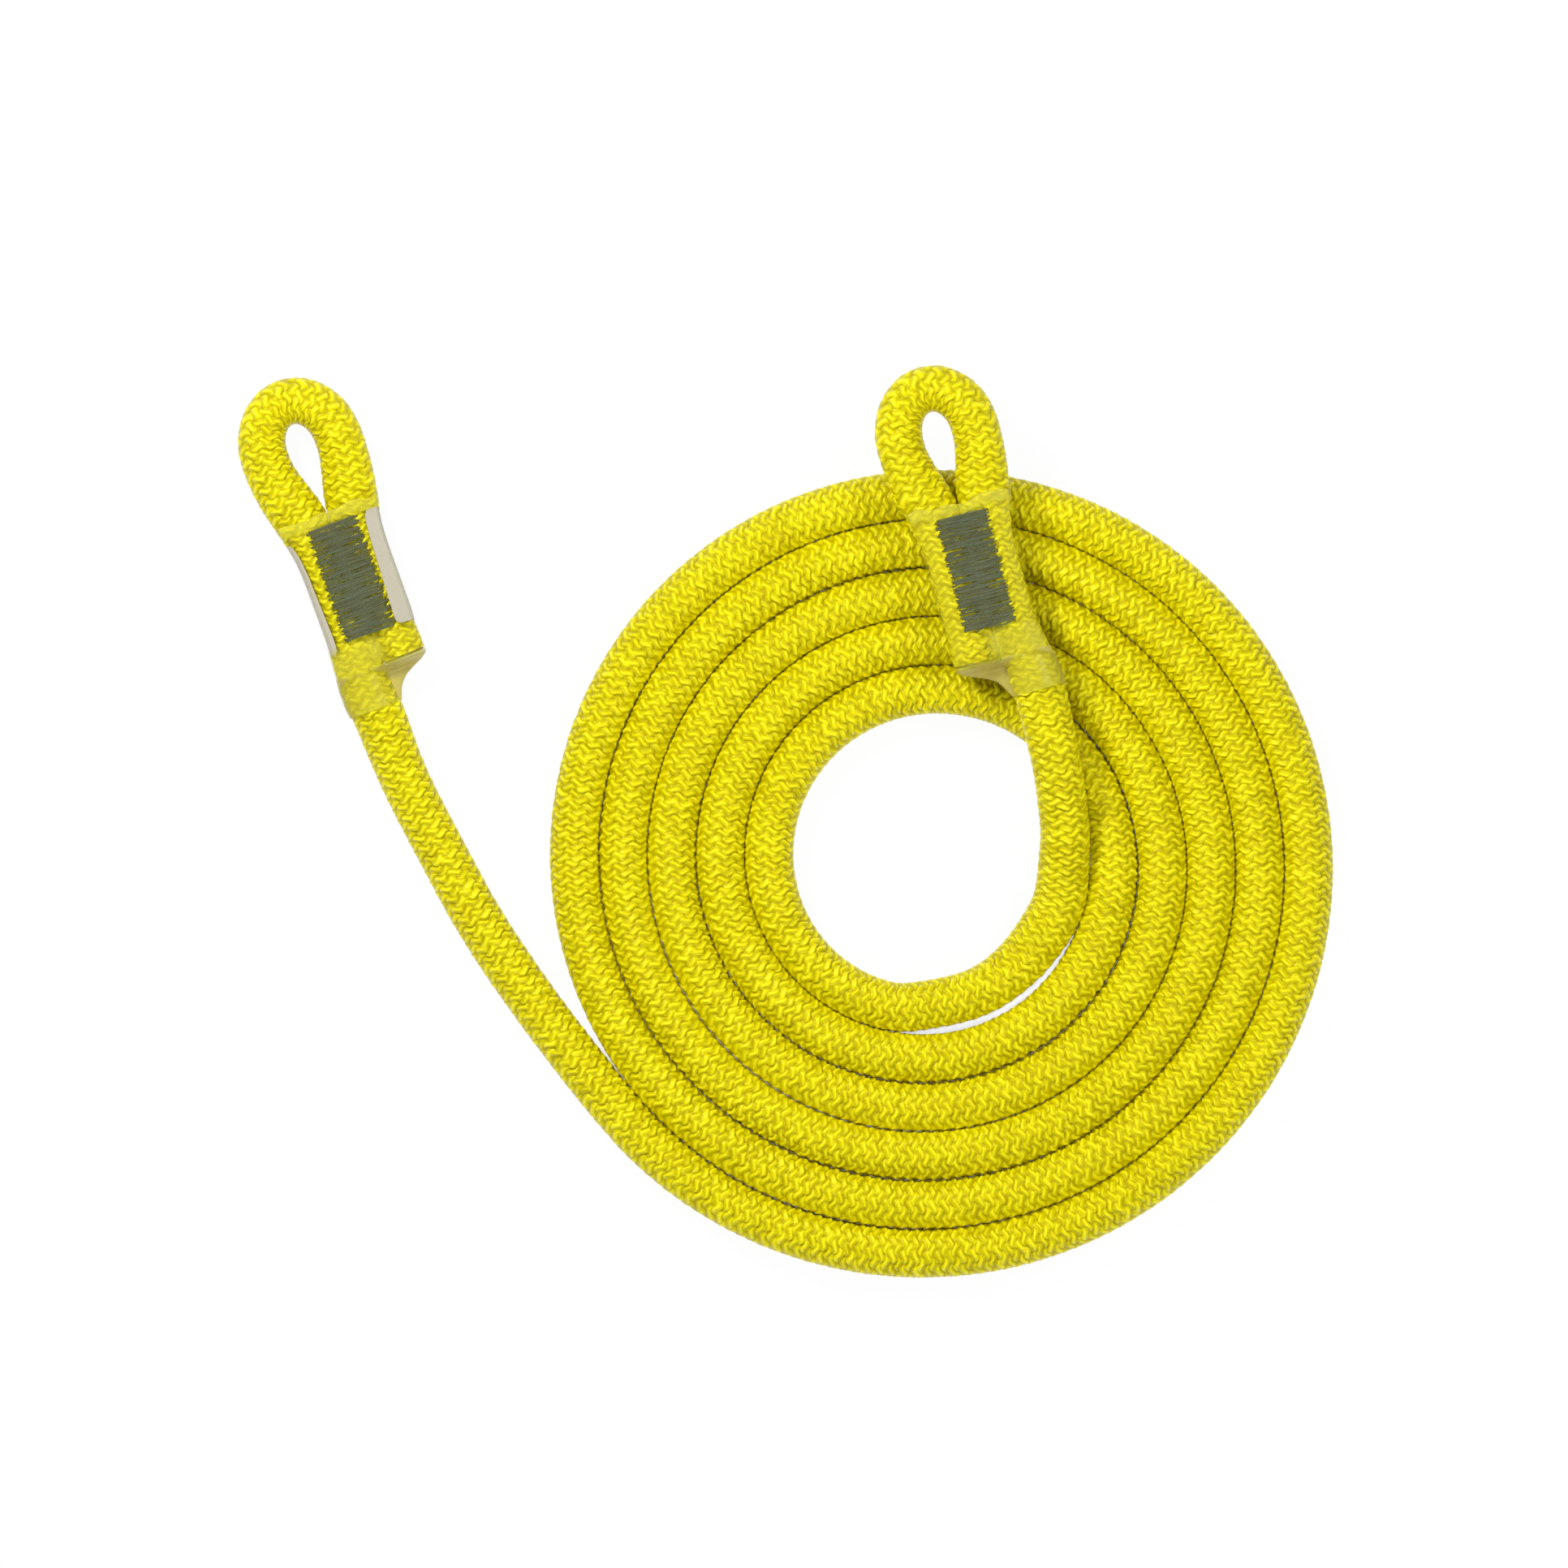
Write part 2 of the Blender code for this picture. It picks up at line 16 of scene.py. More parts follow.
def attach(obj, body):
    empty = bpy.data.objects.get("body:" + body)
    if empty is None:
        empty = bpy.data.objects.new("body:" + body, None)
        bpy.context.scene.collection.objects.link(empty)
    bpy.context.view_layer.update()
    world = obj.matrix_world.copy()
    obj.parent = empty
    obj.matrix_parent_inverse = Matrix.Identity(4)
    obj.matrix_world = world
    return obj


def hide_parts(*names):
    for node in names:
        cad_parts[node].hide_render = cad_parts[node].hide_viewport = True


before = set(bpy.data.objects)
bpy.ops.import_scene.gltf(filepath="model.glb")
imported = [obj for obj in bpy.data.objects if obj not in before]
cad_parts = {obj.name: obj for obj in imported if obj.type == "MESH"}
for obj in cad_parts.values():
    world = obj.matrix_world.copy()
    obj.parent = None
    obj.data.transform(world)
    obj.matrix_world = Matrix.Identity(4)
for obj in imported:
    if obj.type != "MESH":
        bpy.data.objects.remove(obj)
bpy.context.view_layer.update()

bl_info = {
    "name": "Climbing rope looks",
    "version": (1, 0, 0),
    "blender": (4, 5, 0),
    "location": "3D View > Sidebar > Climbing rope",
    "description": "Dresses the packed climbing rope: braid, stitching, clear sleeves, label, melted ends",
    "category": "Object",
}

MM = 0.001
BODY = "root"

# ---- Route of the rope, as in the CAD model. Millimetres and degrees.
COIL_CENTRE = (35.3433, -9.5668)
ROPE_RADIUS = 5.85
COIL_START_RADIUS = 98.1
COIL_START_ANGLE = 222.0
COIL_TURNS = 5.1
COIL_PITCH = 12.0
LEAD_ROUTE = (  # X and Y from the coil's start
    (-63.2, 103.3),
    (-56.4, 86.0),
    (-47.2, 68.0),
    (-37.3, 50.0),
    (-25.2, 32.0),
    (-11.0, 13.2),
)
INNER_ROUTE = (  # degrees past the coil's end, inset in pitches, lift in rope diameters
    (30.0, 1.127, 0.0),
    (54.0, 1.150, 0.0),
    (78.0, 1.080, 0.07),
    (90.0, 1.047, 0.17),
    (102.0, 1.030, 0.35),
    (114.0, 0.900, 0.58),
    (124.0, 0.777, 0.76),
    (133.6, 0.560, 0.95),
    (146.0, 0.156, 1.10),
)
# Where the rope lies wider than elsewhere, as turns that press on each other do
INNER_SPREAD = (47.0, 16.0, 0.56)  # along the inner run, reach, and how much wider
COIL_SAG = (-4.9, 0.5, 0.28, 0.26)  # radians from the coil's end, reach, inwards, and how much wider
STEER = 10.0  # how far past a stretch's end lies the point that steers its curve there
SPREAD_OUT = (12.0, 0.4, 0.05)  # next to a sleeve: reach, and how much wider and higher the rope lies

# ---- Sewn eyes, each in a frame of its own: +Y to the loop, legs side by side along X
LEG_RADIUS = 5.2
# Y, distance from the middle, half-width and half-height
STANDING_LEG = (  # from the sleeve's end to the stitching
    (-32.4, 5.3, 6.25, 5.9),
    (-27.0, 5.6, 6.2, 5.6),
    (-21.0, 5.65, 5.85, 5.3),
    (-15.2, 5.55, 5.4, 5.2),
)
LEG = (  # the same on both sides of the loop, from the stitching to where the loop's bend starts
    (6.0, 5.5, 5.3, 5.2),
    (10.4, 5.8, 5.7, 5.2),
    (12.8, 6.05, 5.95, 5.2),
    (15.2, 6.35, 6.2, 5.25),
    (17.8, 6.65, 6.45, 5.3),
    (19.4, 7.05, 6.5, 5.35),
    (22.6, 7.9, 6.4, 5.45),
    (25.8, 8.65, 6.2, 5.55),
    (29.0, 9.25, 5.95, 5.65),
    (32.2, 9.55, 5.8, 5.7),
)
TAIL = ((-15.2, 5.5, 5.4, 5.2), (-18.8, 5.6, 5.6, 5.15), (-22.0, 5.75, 5.5, 5.0))
LOOP_CENTRE = 34.5  # Y of the middle of the loop's bend
LOOP_WIDTH, LOOP_HEIGHT = 9.6, 12.0  # half the bend's centreline across and along
LOOP_SHIFT = 0.5  # to the left, seen from above
NECK = (15.0, 17.4)  # how far below the eye's middle the sleeve starts to narrow, and over what length
STITCH_LENGTH = 28.4
STITCH_WIDTH = 13.2
FILM_OVER_LEG = 6.1  # from a leg's middle to the film's outer face
SLEEVE = (  # Y, the film's edge past the standing leg and past the tail, from the loop's end to the neck's
    (17.6, 13.6, 13.5),
    (15.0, 13.2, 12.9),
    (12.8, 12.7, 12.5),
    (10.4, 12.2, 12.2),
    (8.0, 11.8, 12.0),
    (4.0, 11.5, 11.9),
    (-12.0, 11.4, 11.85),
    (-16.0, 11.6, 11.5),
    (-19.6, 11.75, 11.4),
    (-22.2, 12.0, 11.65),
    (-23.3, 12.1, 11.2),
    (-24.4, 12.2, 9.8),
    (-25.6, 12.3, 7.2),
    (-26.8, 12.35, 5.0),
    (-28.0, 12.35, 3.7),
    (-29.2, 12.3, 2.9),
    (-30.4, 12.2, 2.4),
    (-31.6, 12.1, 1.9),
    (-32.4, 12.0, 1.6),
)

Eye = namedtuple("Eye", "name turn hand exit_offset centre has_label")
EYE_A = Eye("eye_a", 19.9, -1, 4.9, (-107.18, 60.22, 7.16), True)
EYE_B = Eye("eye_b", 15.0, 1, 7.2, (46.8, 62.2, 19.16), False)

STRETCHES = ("eye_a", "lead", "coil", "inner_run", "eye_b")  # from tail to tail

# ---- Fineness of the meshes
COLUMN_STEPS = 8  # points across one column of floats
PITCH_STEPS = 10  # rings from one float to the next
LINING_STEP = 20  # the sheath's inside has a ring for so many of its outside's
COIL_PIECES = 11
CORNERS = ((0, 0), (1, 0), (1, 1), (0, 1))  # of a grid's quad, in rows and steps

# ---- One float of the braid
FLOAT_REACH = 1.15  # half its length, in columns
FLOAT_HALF = 0.38  # half its width in the middle, in pitches
FLOAT_LEAN = 0.14  # how far it leans to each side, in pitches
SOFTNESS = 10  # how sharply one float meets the next: higher is sharper
FLATTENED = 0.75  # how far the sides of turns that lie side by side are pressed flat, from 0 to 1
PRESSED_OUT = 0.16  # how much farther out such a side reaches

# ---- Label and melted ends
LABEL_HALF, LABEL_AROUND = 14.6, 58.0  # half its length, and its width round the legs
LABEL_CORNER, LABEL_SKEW, LABEL_THICKNESS = 2.2, 2.2, 0.12
# Height past the rope's end and radius, from the join over the rim to the middle
MELTED_PROFILE = ((0.02, 4.6), (0.05, 5.0), (0.2, 5.2), (0.45, 5.1), (0.62, 4.7), (0.7, 3.7), (0.66, 2.4))
MELTED_PROFILE += ((0.66, 1.0), (0.66, 0.02))


def srgb(code):
    """The linear colour of an sRGB hex value."""
    values = [int(code[i : i + 2], 16) / 255 for i in (0, 2, 4)]
    return tuple(v / 12.92 if v <= 0.04045 else ((v + 0.055) / 1.055) ** 2.4 for v in values)


# ---- What a user would change


def length(name, description, default):
    return bpy.props.FloatProperty(
        name=name, description=description, default=default * MM, unit="LENGTH", precision=5, min=0.0
    )


def colour(name, description, code):
    return bpy.props.FloatVectorProperty(
        name=name, description=description, default=srgb(code), subtype="COLOR", min=0.0, max=1.0
    )


class RopeSizes(bpy.types.PropertyGroup):
    """Sizes of the rope's surface."""

    crown_radius: length("Crown radius", "From the rope's centreline to the top of a float", 6.0)
    relief: length("Relief", "From the top of a float to the gap between floats", 1.5)
    float_pitch: length("Float pitch", "From one float to the next in its column", 2.85)
    columns: bpy.props.IntProperty(
        name="Columns", description="Columns of floats round the rope, an even number", default=16, min=8
    )
    lining_radius: length("Lining radius", "Inside of the sheath", 4.6)
    thread: length("Thread", "Thickness of the sewing thread", 0.38)
    thread_pitch: length("Thread pitch", "From one stitch to the next", 0.31)
    film: length("Film", "Thickness of the sleeve's film", 0.3)


class RopeColours(bpy.types.PropertyGroup):
    """Colours of the rope's materials."""

    braid: colour("Braid", "Polyamide yarn on the floats", "D9CF00")
    # Painted shade: a darker yellow for the gaps between floats, where shade falls.
    braid_painted_shade: colour("Braid gap", "Yarn in the gaps between floats", "A99A00")
    # Painted sheen: a paler yellow on the crests of the floats, standing for the highlight there.
    braid_painted_sheen: colour("Braid crest", "Yarn on the crests of the floats, which rubbing has paled", "F2E71E")
    thread: colour("Thread", "Sewing thread", "455046")
    # Partly painted light: the milkiness is the film's own, and its yellow tint is painted light from the
    # yellow rope under it.
    film: colour("Film", "Clear sleeve where it is milky", "DFD83A")
    web: colour("Web", "Clear sleeve where it bridges a gap", "CDC05C")
    label: colour("Label", "Blank label", "B4AEA2")
    melt: colour("Melt", "Melted ends", "8A7A20")
    core: colour("Core", "Core yarn", "EDEBE3")
    tape: colour("Tape", "Marker tape in the core", "597ACC")
    floor: colour("Floor", "Floor and background", "FFFFFF")
    floor_gap: colour("Floor in gaps", "Floor between turns, lit only by light off the rope", "5A4A00")


# ---- Meshes


def join_grids(grids):
    """Points and quads of several grids as one: each is (points, quads)."""
    points, quads, start = [], [], 0
    for places, faces in grids:
        points.append(places)
        quads.append(faces + start)
        start += len(places)
    return np.concatenate(points), np.concatenate(quads)


def grid_quads(rows, across):
    """Quads of a grid whose rows are closed rings."""
    i, j = np.arange(rows - 1)[:, None], np.arange(across)[None]
    k = (j + 1) % across
    corners = (i * across + j, (i + 1) * across + j, (i + 1) * across + k, i * across + k)
    return np.stack(corners, -1).reshape(-1, 4)


def add_piece(name, points, quads, material):
    """A smooth mesh object from points in millimetres."""
    mesh = bpy.data.meshes.new(name)
    mesh.vertices.add(len(points))
    mesh.vertices.foreach_set("co", (np.asarray(points) * MM).astype(np.float32).ravel())
    mesh.loops.add(quads.size)
    mesh.loops.foreach_set("vertex_index", quads.astype(np.int32).ravel())
    mesh.polygons.add(len(quads))
    mesh.polygons.foreach_set("loop_start", np.arange(0, quads.size, 4, dtype=np.int32))
    mesh.update(calc_edges=True)
    mesh.validate()
    mesh.shade_smooth()
    mesh.materials.append(material)
    made = bpy.data.objects.new(name, mesh)
    bpy.context.scene.collection.objects.link(made)
    return made


def map_quads(rows, across, place, corners=CORNERS):
    """For each corner of each quad of a closed grid, the pair that place gives for its row and step."""
    row, step = np.divmod(np.arange(rows * across), across)
    pairs = [np.broadcast_arrays(*place(row + a, step + b)) for a, b in corners]
    return np.stack([np.stack(pair, -1) for pair in pairs], 1)


def add_numbers(piece, name, values):
    """One number for each point, for the material to read."""
    piece.data.attributes.new(name, "FLOAT", "POINT").data.foreach_set("value", values.astype(np.float32))


def crease_rings(piece, starts, count):
    """Marks rings of points as sharp, so that the shading of a tube's side runs straight on to its end."""
    edges = np.empty(2 * len(piece.data.edges), np.int32)
    piece.data.edges.foreach_get("vertices", edges)
    edges = edges.reshape(-1, 2)
    sharp = np.any([((edges >= start) & (edges < start + count)).all(1) for start in starts], 0)
    piece.data.attributes.new("sharp_edge", "BOOLEAN", "EDGE").data.foreach_set("value", sharp)


def add_map(piece, name, values):
    """A UV map from one pair of values for each corner of each face."""
    layer = piece.data.uv_layers.new(name=name)
    layer.uv.foreach_set("vector", np.asarray(values, np.float32).ravel())


def keep(piece, slot, *nodes):
    """The piece rides on the object's only body and stands for these CAD nodes."""
    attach(piece, BODY)
    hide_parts(*nodes)
    return piece


# ---- Materials

MIX = {"output": 2, "data_type": "RGBA"}  # the Mix node for colours: 0 is the factor, 6 and 7 the colours


def rgba(colour, times=1.0):
    """A colour as a socket takes it, made darker or lighter."""
    return (*(min(1.0, times * v) for v in colour), 1.0)


def set_inputs(node, inputs):
    """Puts a value or a link on each of these inputs of a node."""
    for key, value in inputs.items():
        if isinstance(value, bpy.types.NodeSocket):
            node.id_data.links.new(value, node.inputs[key])
        else:
            node.inputs[key].default_value = value


def add_node(tree, kind, inputs=None, output=0, **settings):
    """A node with its settings, and with values or links on its inputs. Gives one of its outputs."""
    made = tree.nodes.new("ShaderNode" + kind)
    for key, value in settings.items():
        setattr(made, key, value)
    set_inputs(made, inputs or {})
    return made.outputs[output]


def new_material(name, **sockets):
    """A material with values on its shader's sockets, and add_node for its tree."""
    made = bpy.data.materials.new(name)
    made.use_nodes = True
    inputs = {key.replace("_", " "): value for key, value in sockets.items()}
    set_inputs(made.node_tree.nodes["Principled BSDF"], inputs)
    return made, partial(add_node, made.node_tree)


def dress(made, body, pattern, rough, relief, raised=None, **more):
    """Puts a body colour on a material's shader. The pattern varies its roughness between two values and
    raises its surface by relief, in millimetres, unless raised is given as another pattern for that."""
    add = partial(add_node, made.node_tree)
    rough = add("MapRange", {"Value": pattern, "To Min": rough[0], "To Max": rough[1]})
    height = pattern if raised is None else raised
    bump = add("Bump", {"Height": height, "Distance": relief * MM, "Strength": 1.0})
    inputs = {"Base Color": body, "Roughness": rough, "Normal": bump, **more}
    set_inputs(made.node_tree.nodes["Principled BSDF"], inputs)
    return made


def braided_polyamide():
    """Polyamide multifilament yarn, dyed and braided. Its smooth filaments give each float a silky highlight
    along the yarn. Light that enters the gaps between floats comes back a deeper yellow, and this is painted
    into the colour as painted shade. The crests of the floats are painted paler, as a painted sheen."""
    colours = bpy.context.scene.rope_colours
    # Light that the filaments throw back has passed through others, so highlights are yellow too.
    tint = rgba(srgb("FFF35A"))
    made, add = new_material("braided_polyamide", IOR=1.53, Specular_IOR_Level=0.8, Specular_Tint=tint)
    # Where a place lies across its float, as in braid_relief
    along, around, _ = add("SeparateXYZ", {0: add("UVMap", uv_map="yarn")}).node.outputs
    column = add("Math", {0: add("Math", {0: around, 1: 0.5}, operation="ADD")}, operation="FLOOR")
    side = add("Math", {0: around, 1: column}, operation="SUBTRACT")
    odd = add("Math", {0: column, 1: 2.0}, operation="FLOORED_MODULO")
    lean = add("Math", {0: odd, 1: 2 * FLOAT_LEAN, 2: -FLOAT_LEAN}, operation="MULTIPLY_ADD")
    bend = add("Math", {0: add("Math", {0: side, 1: math.pi}, operation="MULTIPLY")}, operation="SINE")
    across = add("Math", {0: odd, 1: -0.5, 2: along}, operation="MULTIPLY_ADD")
    across = add("Math", {0: lean, 1: bend, 2: across}, operation="MULTIPLY_ADD")
    # Filaments are 0.03 mm thick. They are drawn as strands of about 0.2 mm, 14 to a pitch, to show.
    place = add("CombineXYZ", {0: across, 1: side, 2: column})
    place = add("VectorMath", {0: place, 1: (14.0, 1.5, 1.0)}, operation="MULTIPLY")
    strands = add("TexNoise", {"Vector": place, "Scale": 1.0, "Detail": 2.0})
    crown = add("Attribute", output="Fac", attribute_name="crown")
    # depth: low on the relief, in the gaps between floats, which get the painted shade colour.
    depth = add("MapRange", {"Value": crown, "From Min": 0.4, "From Max": 0.8})
    # crest: high on the relief, on the tops of the floats, which get the painted sheen colour.
    crest = add("MapRange", {"Value": crown, "From Min": 0.75, "From Max": 1.05})
    body = add("Mix", {0: depth, 6: rgba(colours.braid_painted_shade), 7: rgba(colours.braid)}, **MIX)
    body = add("Mix", {0: crest, 6: body, 7: rgba(colours.braid_painted_sheen)}, **MIX)
    return dress(made, body, strands, (0.3, 0.45), 0.03)


def polyester_thread():
    """Polyester sewing thread, three plies twisted and waxed. The twist shows as fine slanting ridges, and
    the wax gives it a dull gloss."""
    thread = bpy.context.scene.rope_colours.thread
    made, add = new_material("polyester_thread", IOR=1.57)
    place = add("UVMap", uv_map="thread")
    along, around, _ = add("SeparateXYZ", {0: place}).node.outputs
    # The three plies make one turn in 1.2 mm.
    turns = add("Math", {0: along, 1: 1 / 1.2, 2: around}, operation="MULTIPLY_ADD")
    turns = add("Math", {0: turns, 1: 3 * math.tau}, operation="MULTIPLY")
    ridge = add("Math", {0: turns}, operation="SINE")
    patch = add("TexNoise", {"Vector": place, "Scale": 0.6, "Detail": 3.0})  # patches of about 2 mm
    # Some stitches lie higher or are pulled tighter than others and look paler.
    tone = add("Attribute", output="Fac", attribute_name="tone")
    tone = add("Math", {0: add("Math", {0: tone, 1: patch}, operation="ADD"), 1: 0.5}, operation="MULTIPLY")
    # Painted shade: the grooves between the plies are coloured darker.
    shade = add("MapRange", {"Value": ridge, "From Min": -1.0, "To Min": 0.35, "To Max": 0.0})
    body = add("Mix", {0: tone, 6: rgba(thread, 0.38), 7: rgba(thread, 1.9)}, **MIX)
    body = add("Mix", {0: shade, 6: body, 7: rgba(thread, 0.38)}, **MIX)
    return dress(made, body, patch, (0.4, 0.6), 0.05, ridge)


def shrunk_film():
    """Clear polyolefin film, shrunk on with heat. Where it has shrunk little it is clear. At its rim and
    where it has shrunk most it turns milky, and where it bridges a gap it looks cream. Its satin surface
    blurs highlights."""
    colours = bpy.context.scene.rope_colours
    made, add = new_material("shrunk_film", IOR=1.49, Specular_IOR_Level=0.35)
    place = add("TexCoord", output="Object")
    cloud = add("TexNoise", {"Vector": place, "Scale": 240.0, "Detail": 3.0})  # clouds of about 4 mm
    grain = add("TexNoise", {"Vector": place, "Scale": 1400.0, "Detail": 2.0})  # ripples of about 0.7 mm
    haze = add("Attribute", output="Fac", attribute_name="haze")
    spread = {"From Min": 0.3, "From Max": 0.7, "To Min": 0.8, "To Max": 1.2}
    patchy = add("MapRange", {"Value": cloud, **spread})
    alpha = add("Math", {0: haze, 1: patchy}, operation="MULTIPLY")
    thick = add("MapRange", {"Value": haze, "From Min": 0.36, "From Max": 0.56})
    # The film colour's yellow tint is painted light from the rope under it. Its milky clouds are the film's
    # own.
    body = add("Mix", {0: cloud, 6: rgba(colours.film), 7: rgba(colours.film, 0.88)}, **MIX)
    body = add("Mix", {0: thick, 6: body, 7: rgba(colours.web)}, **MIX)
    return dress(made, body, cloud, (0.3, 0.45), 0.05, grain, Alpha=alpha)


def label_film():
    """White polyester label film, coated for printing and left blank. It has a satin gloss and a faint
    mottle."""
    label = bpy.context.scene.rope_colours.label
    made, add = new_material("label_film", IOR=1.5)
    place = add("TexCoord", output="Object")
    mottle = add("TexNoise", {"Vector": place, "Scale": 900.0, "Detail": 4.0})  # mottle of about 1 mm
    body = add("Mix", {0: mottle, 6: rgba(label), 7: rgba(label, 0.93)}, **MIX)
    return dress(made, body, mottle, (0.35, 0.5), 0.02)


def melted_polyamide():
    """Polyamide rope end, cut and fused with a hot knife. The melt is brown where it scorched and glossy
    where it flowed."""
    melt = bpy.context.scene.rope_colours.melt
    made, add = new_material("melted_polyamide", IOR=1.53)
    place = add("TexCoord", output="Object")
    scorch = add("TexNoise", {"Vector": place, "Scale": 500.0, "Detail": 4.0})  # patches of about 2 mm
    patch = add("MapRange", {"Value": scorch, "From Min": 0.35, "From Max": 0.65})
    body = add("Mix", {0: patch, 6: rgba(melt, 0.3), 7: rgba(melt)}, **MIX)
    return dress(made, body, scorch, (0.2, 0.5), 0.15)


def twisted_core_yarn():
    """Undyed polyamide core yarn, twisted. It is white and silky, with the slant of its plies."""
    core = bpy.context.scene.rope_colours.core
    made, add = new_material("twisted_core_yarn", IOR=1.53)
    plies = {"Vector": add("TexCoord", output="Object"), "Scale": 300.0, "Distortion": 1.5}  # of about 1 mm
    plies = add("TexWave", plies, "Fac", bands_direction="DIAGONAL")
    body = add("Mix", {0: plies, 6: rgba(core, 0.7), 7: rgba(core)}, **MIX)
    return dress(made, body, plies, (0.45, 0.6), 0.2)


def woven_marker_tape():
    """Narrow polyester tape, woven plain and left without print. It shows a fine rib."""
    tape = bpy.context.scene.rope_colours.tape
    made, add = new_material("woven_marker_tape", IOR=1.57)
    ribs = {"Vector": add("TexCoord", output="Object"), "Scale": 600.0}  # of about 0.5 mm
    ribs = add("TexWave", ribs, "Fac", bands_direction="DIAGONAL")
    body = add("Mix", {0: ribs, 6: rgba(tape, 0.6), 7: rgba(tape)}, **MIX)
    return dress(made, body, ribs, (0.45, 0.6), 0.05)


def pale_floor():
    """Plain matt board. The camera sees it nearly white, and it keeps a light shadow of the rope."""
    colours = bpy.context.scene.rope_colours
    made, add = new_material("pale_floor", Roughness=0.9, Specular_IOR_Level=0.0)
    path = add("LightPath").node.outputs
    seen = add("Math", {0: path["Is Camera Ray"], 1: path["Is Glossy Ray"]}, operation="MAXIMUM")
    seen = add("Math", {0: seen, 1: path["Is Transmission Ray"]}, operation="MAXIMUM")
    glow = add("Emission", {"Color": rgba(colours.floor), "Strength": 1.0})
    # Between turns of rope that touch, no light gets down to the board.
    open_sky = add("AmbientOcclusion", {"Distance": 12 * MM}, "AO", samples=16)
    lit = add("MapRange", {"Value": open_sky, "From Min": 0.02, "From Max": 0.055, "To Max": 0.96})
    body = add("Mix", {0: lit, 6: rgba(colours.floor_gap), 7: rgba(colours.floor)}, **MIX)
    nodes = made.node_tree.nodes
    set_inputs(nodes["Principled BSDF"], {"Base Color": body})
    share = add("Math", {0: seen, 1: lit}, operation="MULTIPLY")
    mixed = add("MixShader", {0: share, 1: nodes["Principled BSDF"].outputs[0], 2: glow})
    set_inputs(nodes["Material Output"], {"Surface": mixed})
    return made


# ---- Route


def rise(value, start, reach):
    """0 up to start, 1 from a reach past it, and smooth between."""
    t = np.clip((value - start) / reach, 0, 1)
    return t * t * (3 - 2 * t)


def hump(value, middle, reach):
    """1 in the middle, falling away on both sides over about a reach."""
    return np.exp(-(((value - middle) / reach) ** 2))


def unit(ways):
    """The same directions with a length of 1."""
    return ways / np.linalg.norm(ways, axis=-1, keepdims=True)


def travel(line):
    """How far along a line each of its points is."""
    return np.append(0, np.cumsum(np.linalg.norm(np.diff(line[:, :3], axis=0), axis=1)))


def coil_places(past):
    """Places on the coil's spiral, past radians of travel after its start, and the way it runs there."""
    radius = COIL_START_RADIUS - COIL_PITCH * past / math.tau
    angle = math.radians(COIL_START_ANGLE) + past
    outward = np.stack([np.cos(angle), np.sin(angle), 0 * angle], -1)
    onward = np.stack([-np.sin(angle), np.cos(angle), 0 * angle], -1) * radius[:, None]
    onward -= outward * COIL_PITCH / math.tau
    places = outward * radius[:, None] + (*COIL_CENTRE, ROPE_RADIUS)
    return places, unit(onward)


def inner_place(degrees, inset, lift):
    past = COIL_TURNS * math.tau + math.radians(degrees)
    radius = COIL_START_RADIUS - COIL_PITCH * (past / math.tau - 1 + inset)
    angle = math.radians(COIL_START_ANGLE) + past
    height = ROPE_RADIUS + lift * 2 * ROPE_RADIUS
    return np.array((math.cos(angle) * radius, math.sin(angle) * radius, height)) + (*COIL_CENTRE, 0)


def smooth_through(places, steps=16):
    """A Catmull-Rom curve through places[1:-1]; the first and last only steer it."""
    t = np.arange(steps)[:, None] / steps
    found = []
    for a, b, c, d in zip(places, places[1:], places[2:], places[3:]):
        square, cube = 2 * a - 5 * b + 4 * c - d, 3 * b - a - 3 * c + d
        found.append(0.5 * (2 * b + (c - a) * t + square * t**2 + cube * t**3))
    found = np.concatenate([*found, places[-2][None]])
    found[:, 2] = np.maximum(found[:, 2], ROPE_RADIUS)
    return found


def eye_matrix(eye):
    return Matrix.Translation(Vector(eye.centre)) @ Matrix.Rotation(math.radians(eye.turn), 4, "Z")


def from_eye(eye, points):
    """Points of the eye's own frame in the model's."""
    matrix = np.array(eye_matrix(eye))
    return np.asarray(points) @ matrix[:3, :3].T + matrix[:3, 3]


def eye_route(eye):
    """Centreline of an eye's rope from the sleeve's end round the loop to the tail: X, Y, Z, half-width and
    half-height."""
    standing = np.array(STANDING_LEG)
    below, neck = NECK
    standing[:, 1] += (eye.exit_offset - EYE_A.exit_offset) * np.clip((-standing[:, 0] - below) / neck, 0, 1)
    leg, tail = np.array(LEG), np.array(TAIL)
    angle = np.linspace(0, math.pi, 41)
    top = np.sin(angle)
    bend = [LOOP_CENTRE + LOOP_HEIGHT * top, LOOP_WIDTH * np.cos(angle), 5.8 - 0.25 * top, 0 * angle + 5.7]
    there = np.concatenate([standing, leg])
    back = np.concatenate([leg[::-1], tail]) * (1, -1, 1, 1)
    flat = np.concatenate([there, np.column_stack(bend), back])
    x = eye.hand * flat[:, 1] - LOOP_SHIFT * rise(flat[:, 0], 12, 20)
    places = from_eye(eye, np.column_stack([x, flat[:, 0], 0 * x]))
    return np.column_stack([places, flat[:, 2:]])


def resample(route, step):
    """The route with points a step apart, its kinks rounded over a few millimetres."""

    def spaced(line, gap):
        along = travel(line)
        count = round(along[-1] / gap)
        at = np.arange(count + 1) * (along[-1] / count)
        return np.stack([np.interp(at, along, row) for row in line.T], -1)

    fine, spread = 0.25, 1.8
    line = spaced(route, fine)
    reach = int(3 * spread / fine)
    kernel = np.exp(-0.5 * (np.arange(-reach, reach + 1) * fine / spread) ** 2)
    kernel /= kernel.sum()
    head = 2 * line[0] - line[reach:0:-1]
    foot = 2 * line[-1] - line[-2 : -reach - 2 : -1]
    longer = np.concatenate([head, line, foot])
    line = np.stack([np.convolve(row, kernel, "valid") for row in longer.T], -1)
    return spaced(line, step)


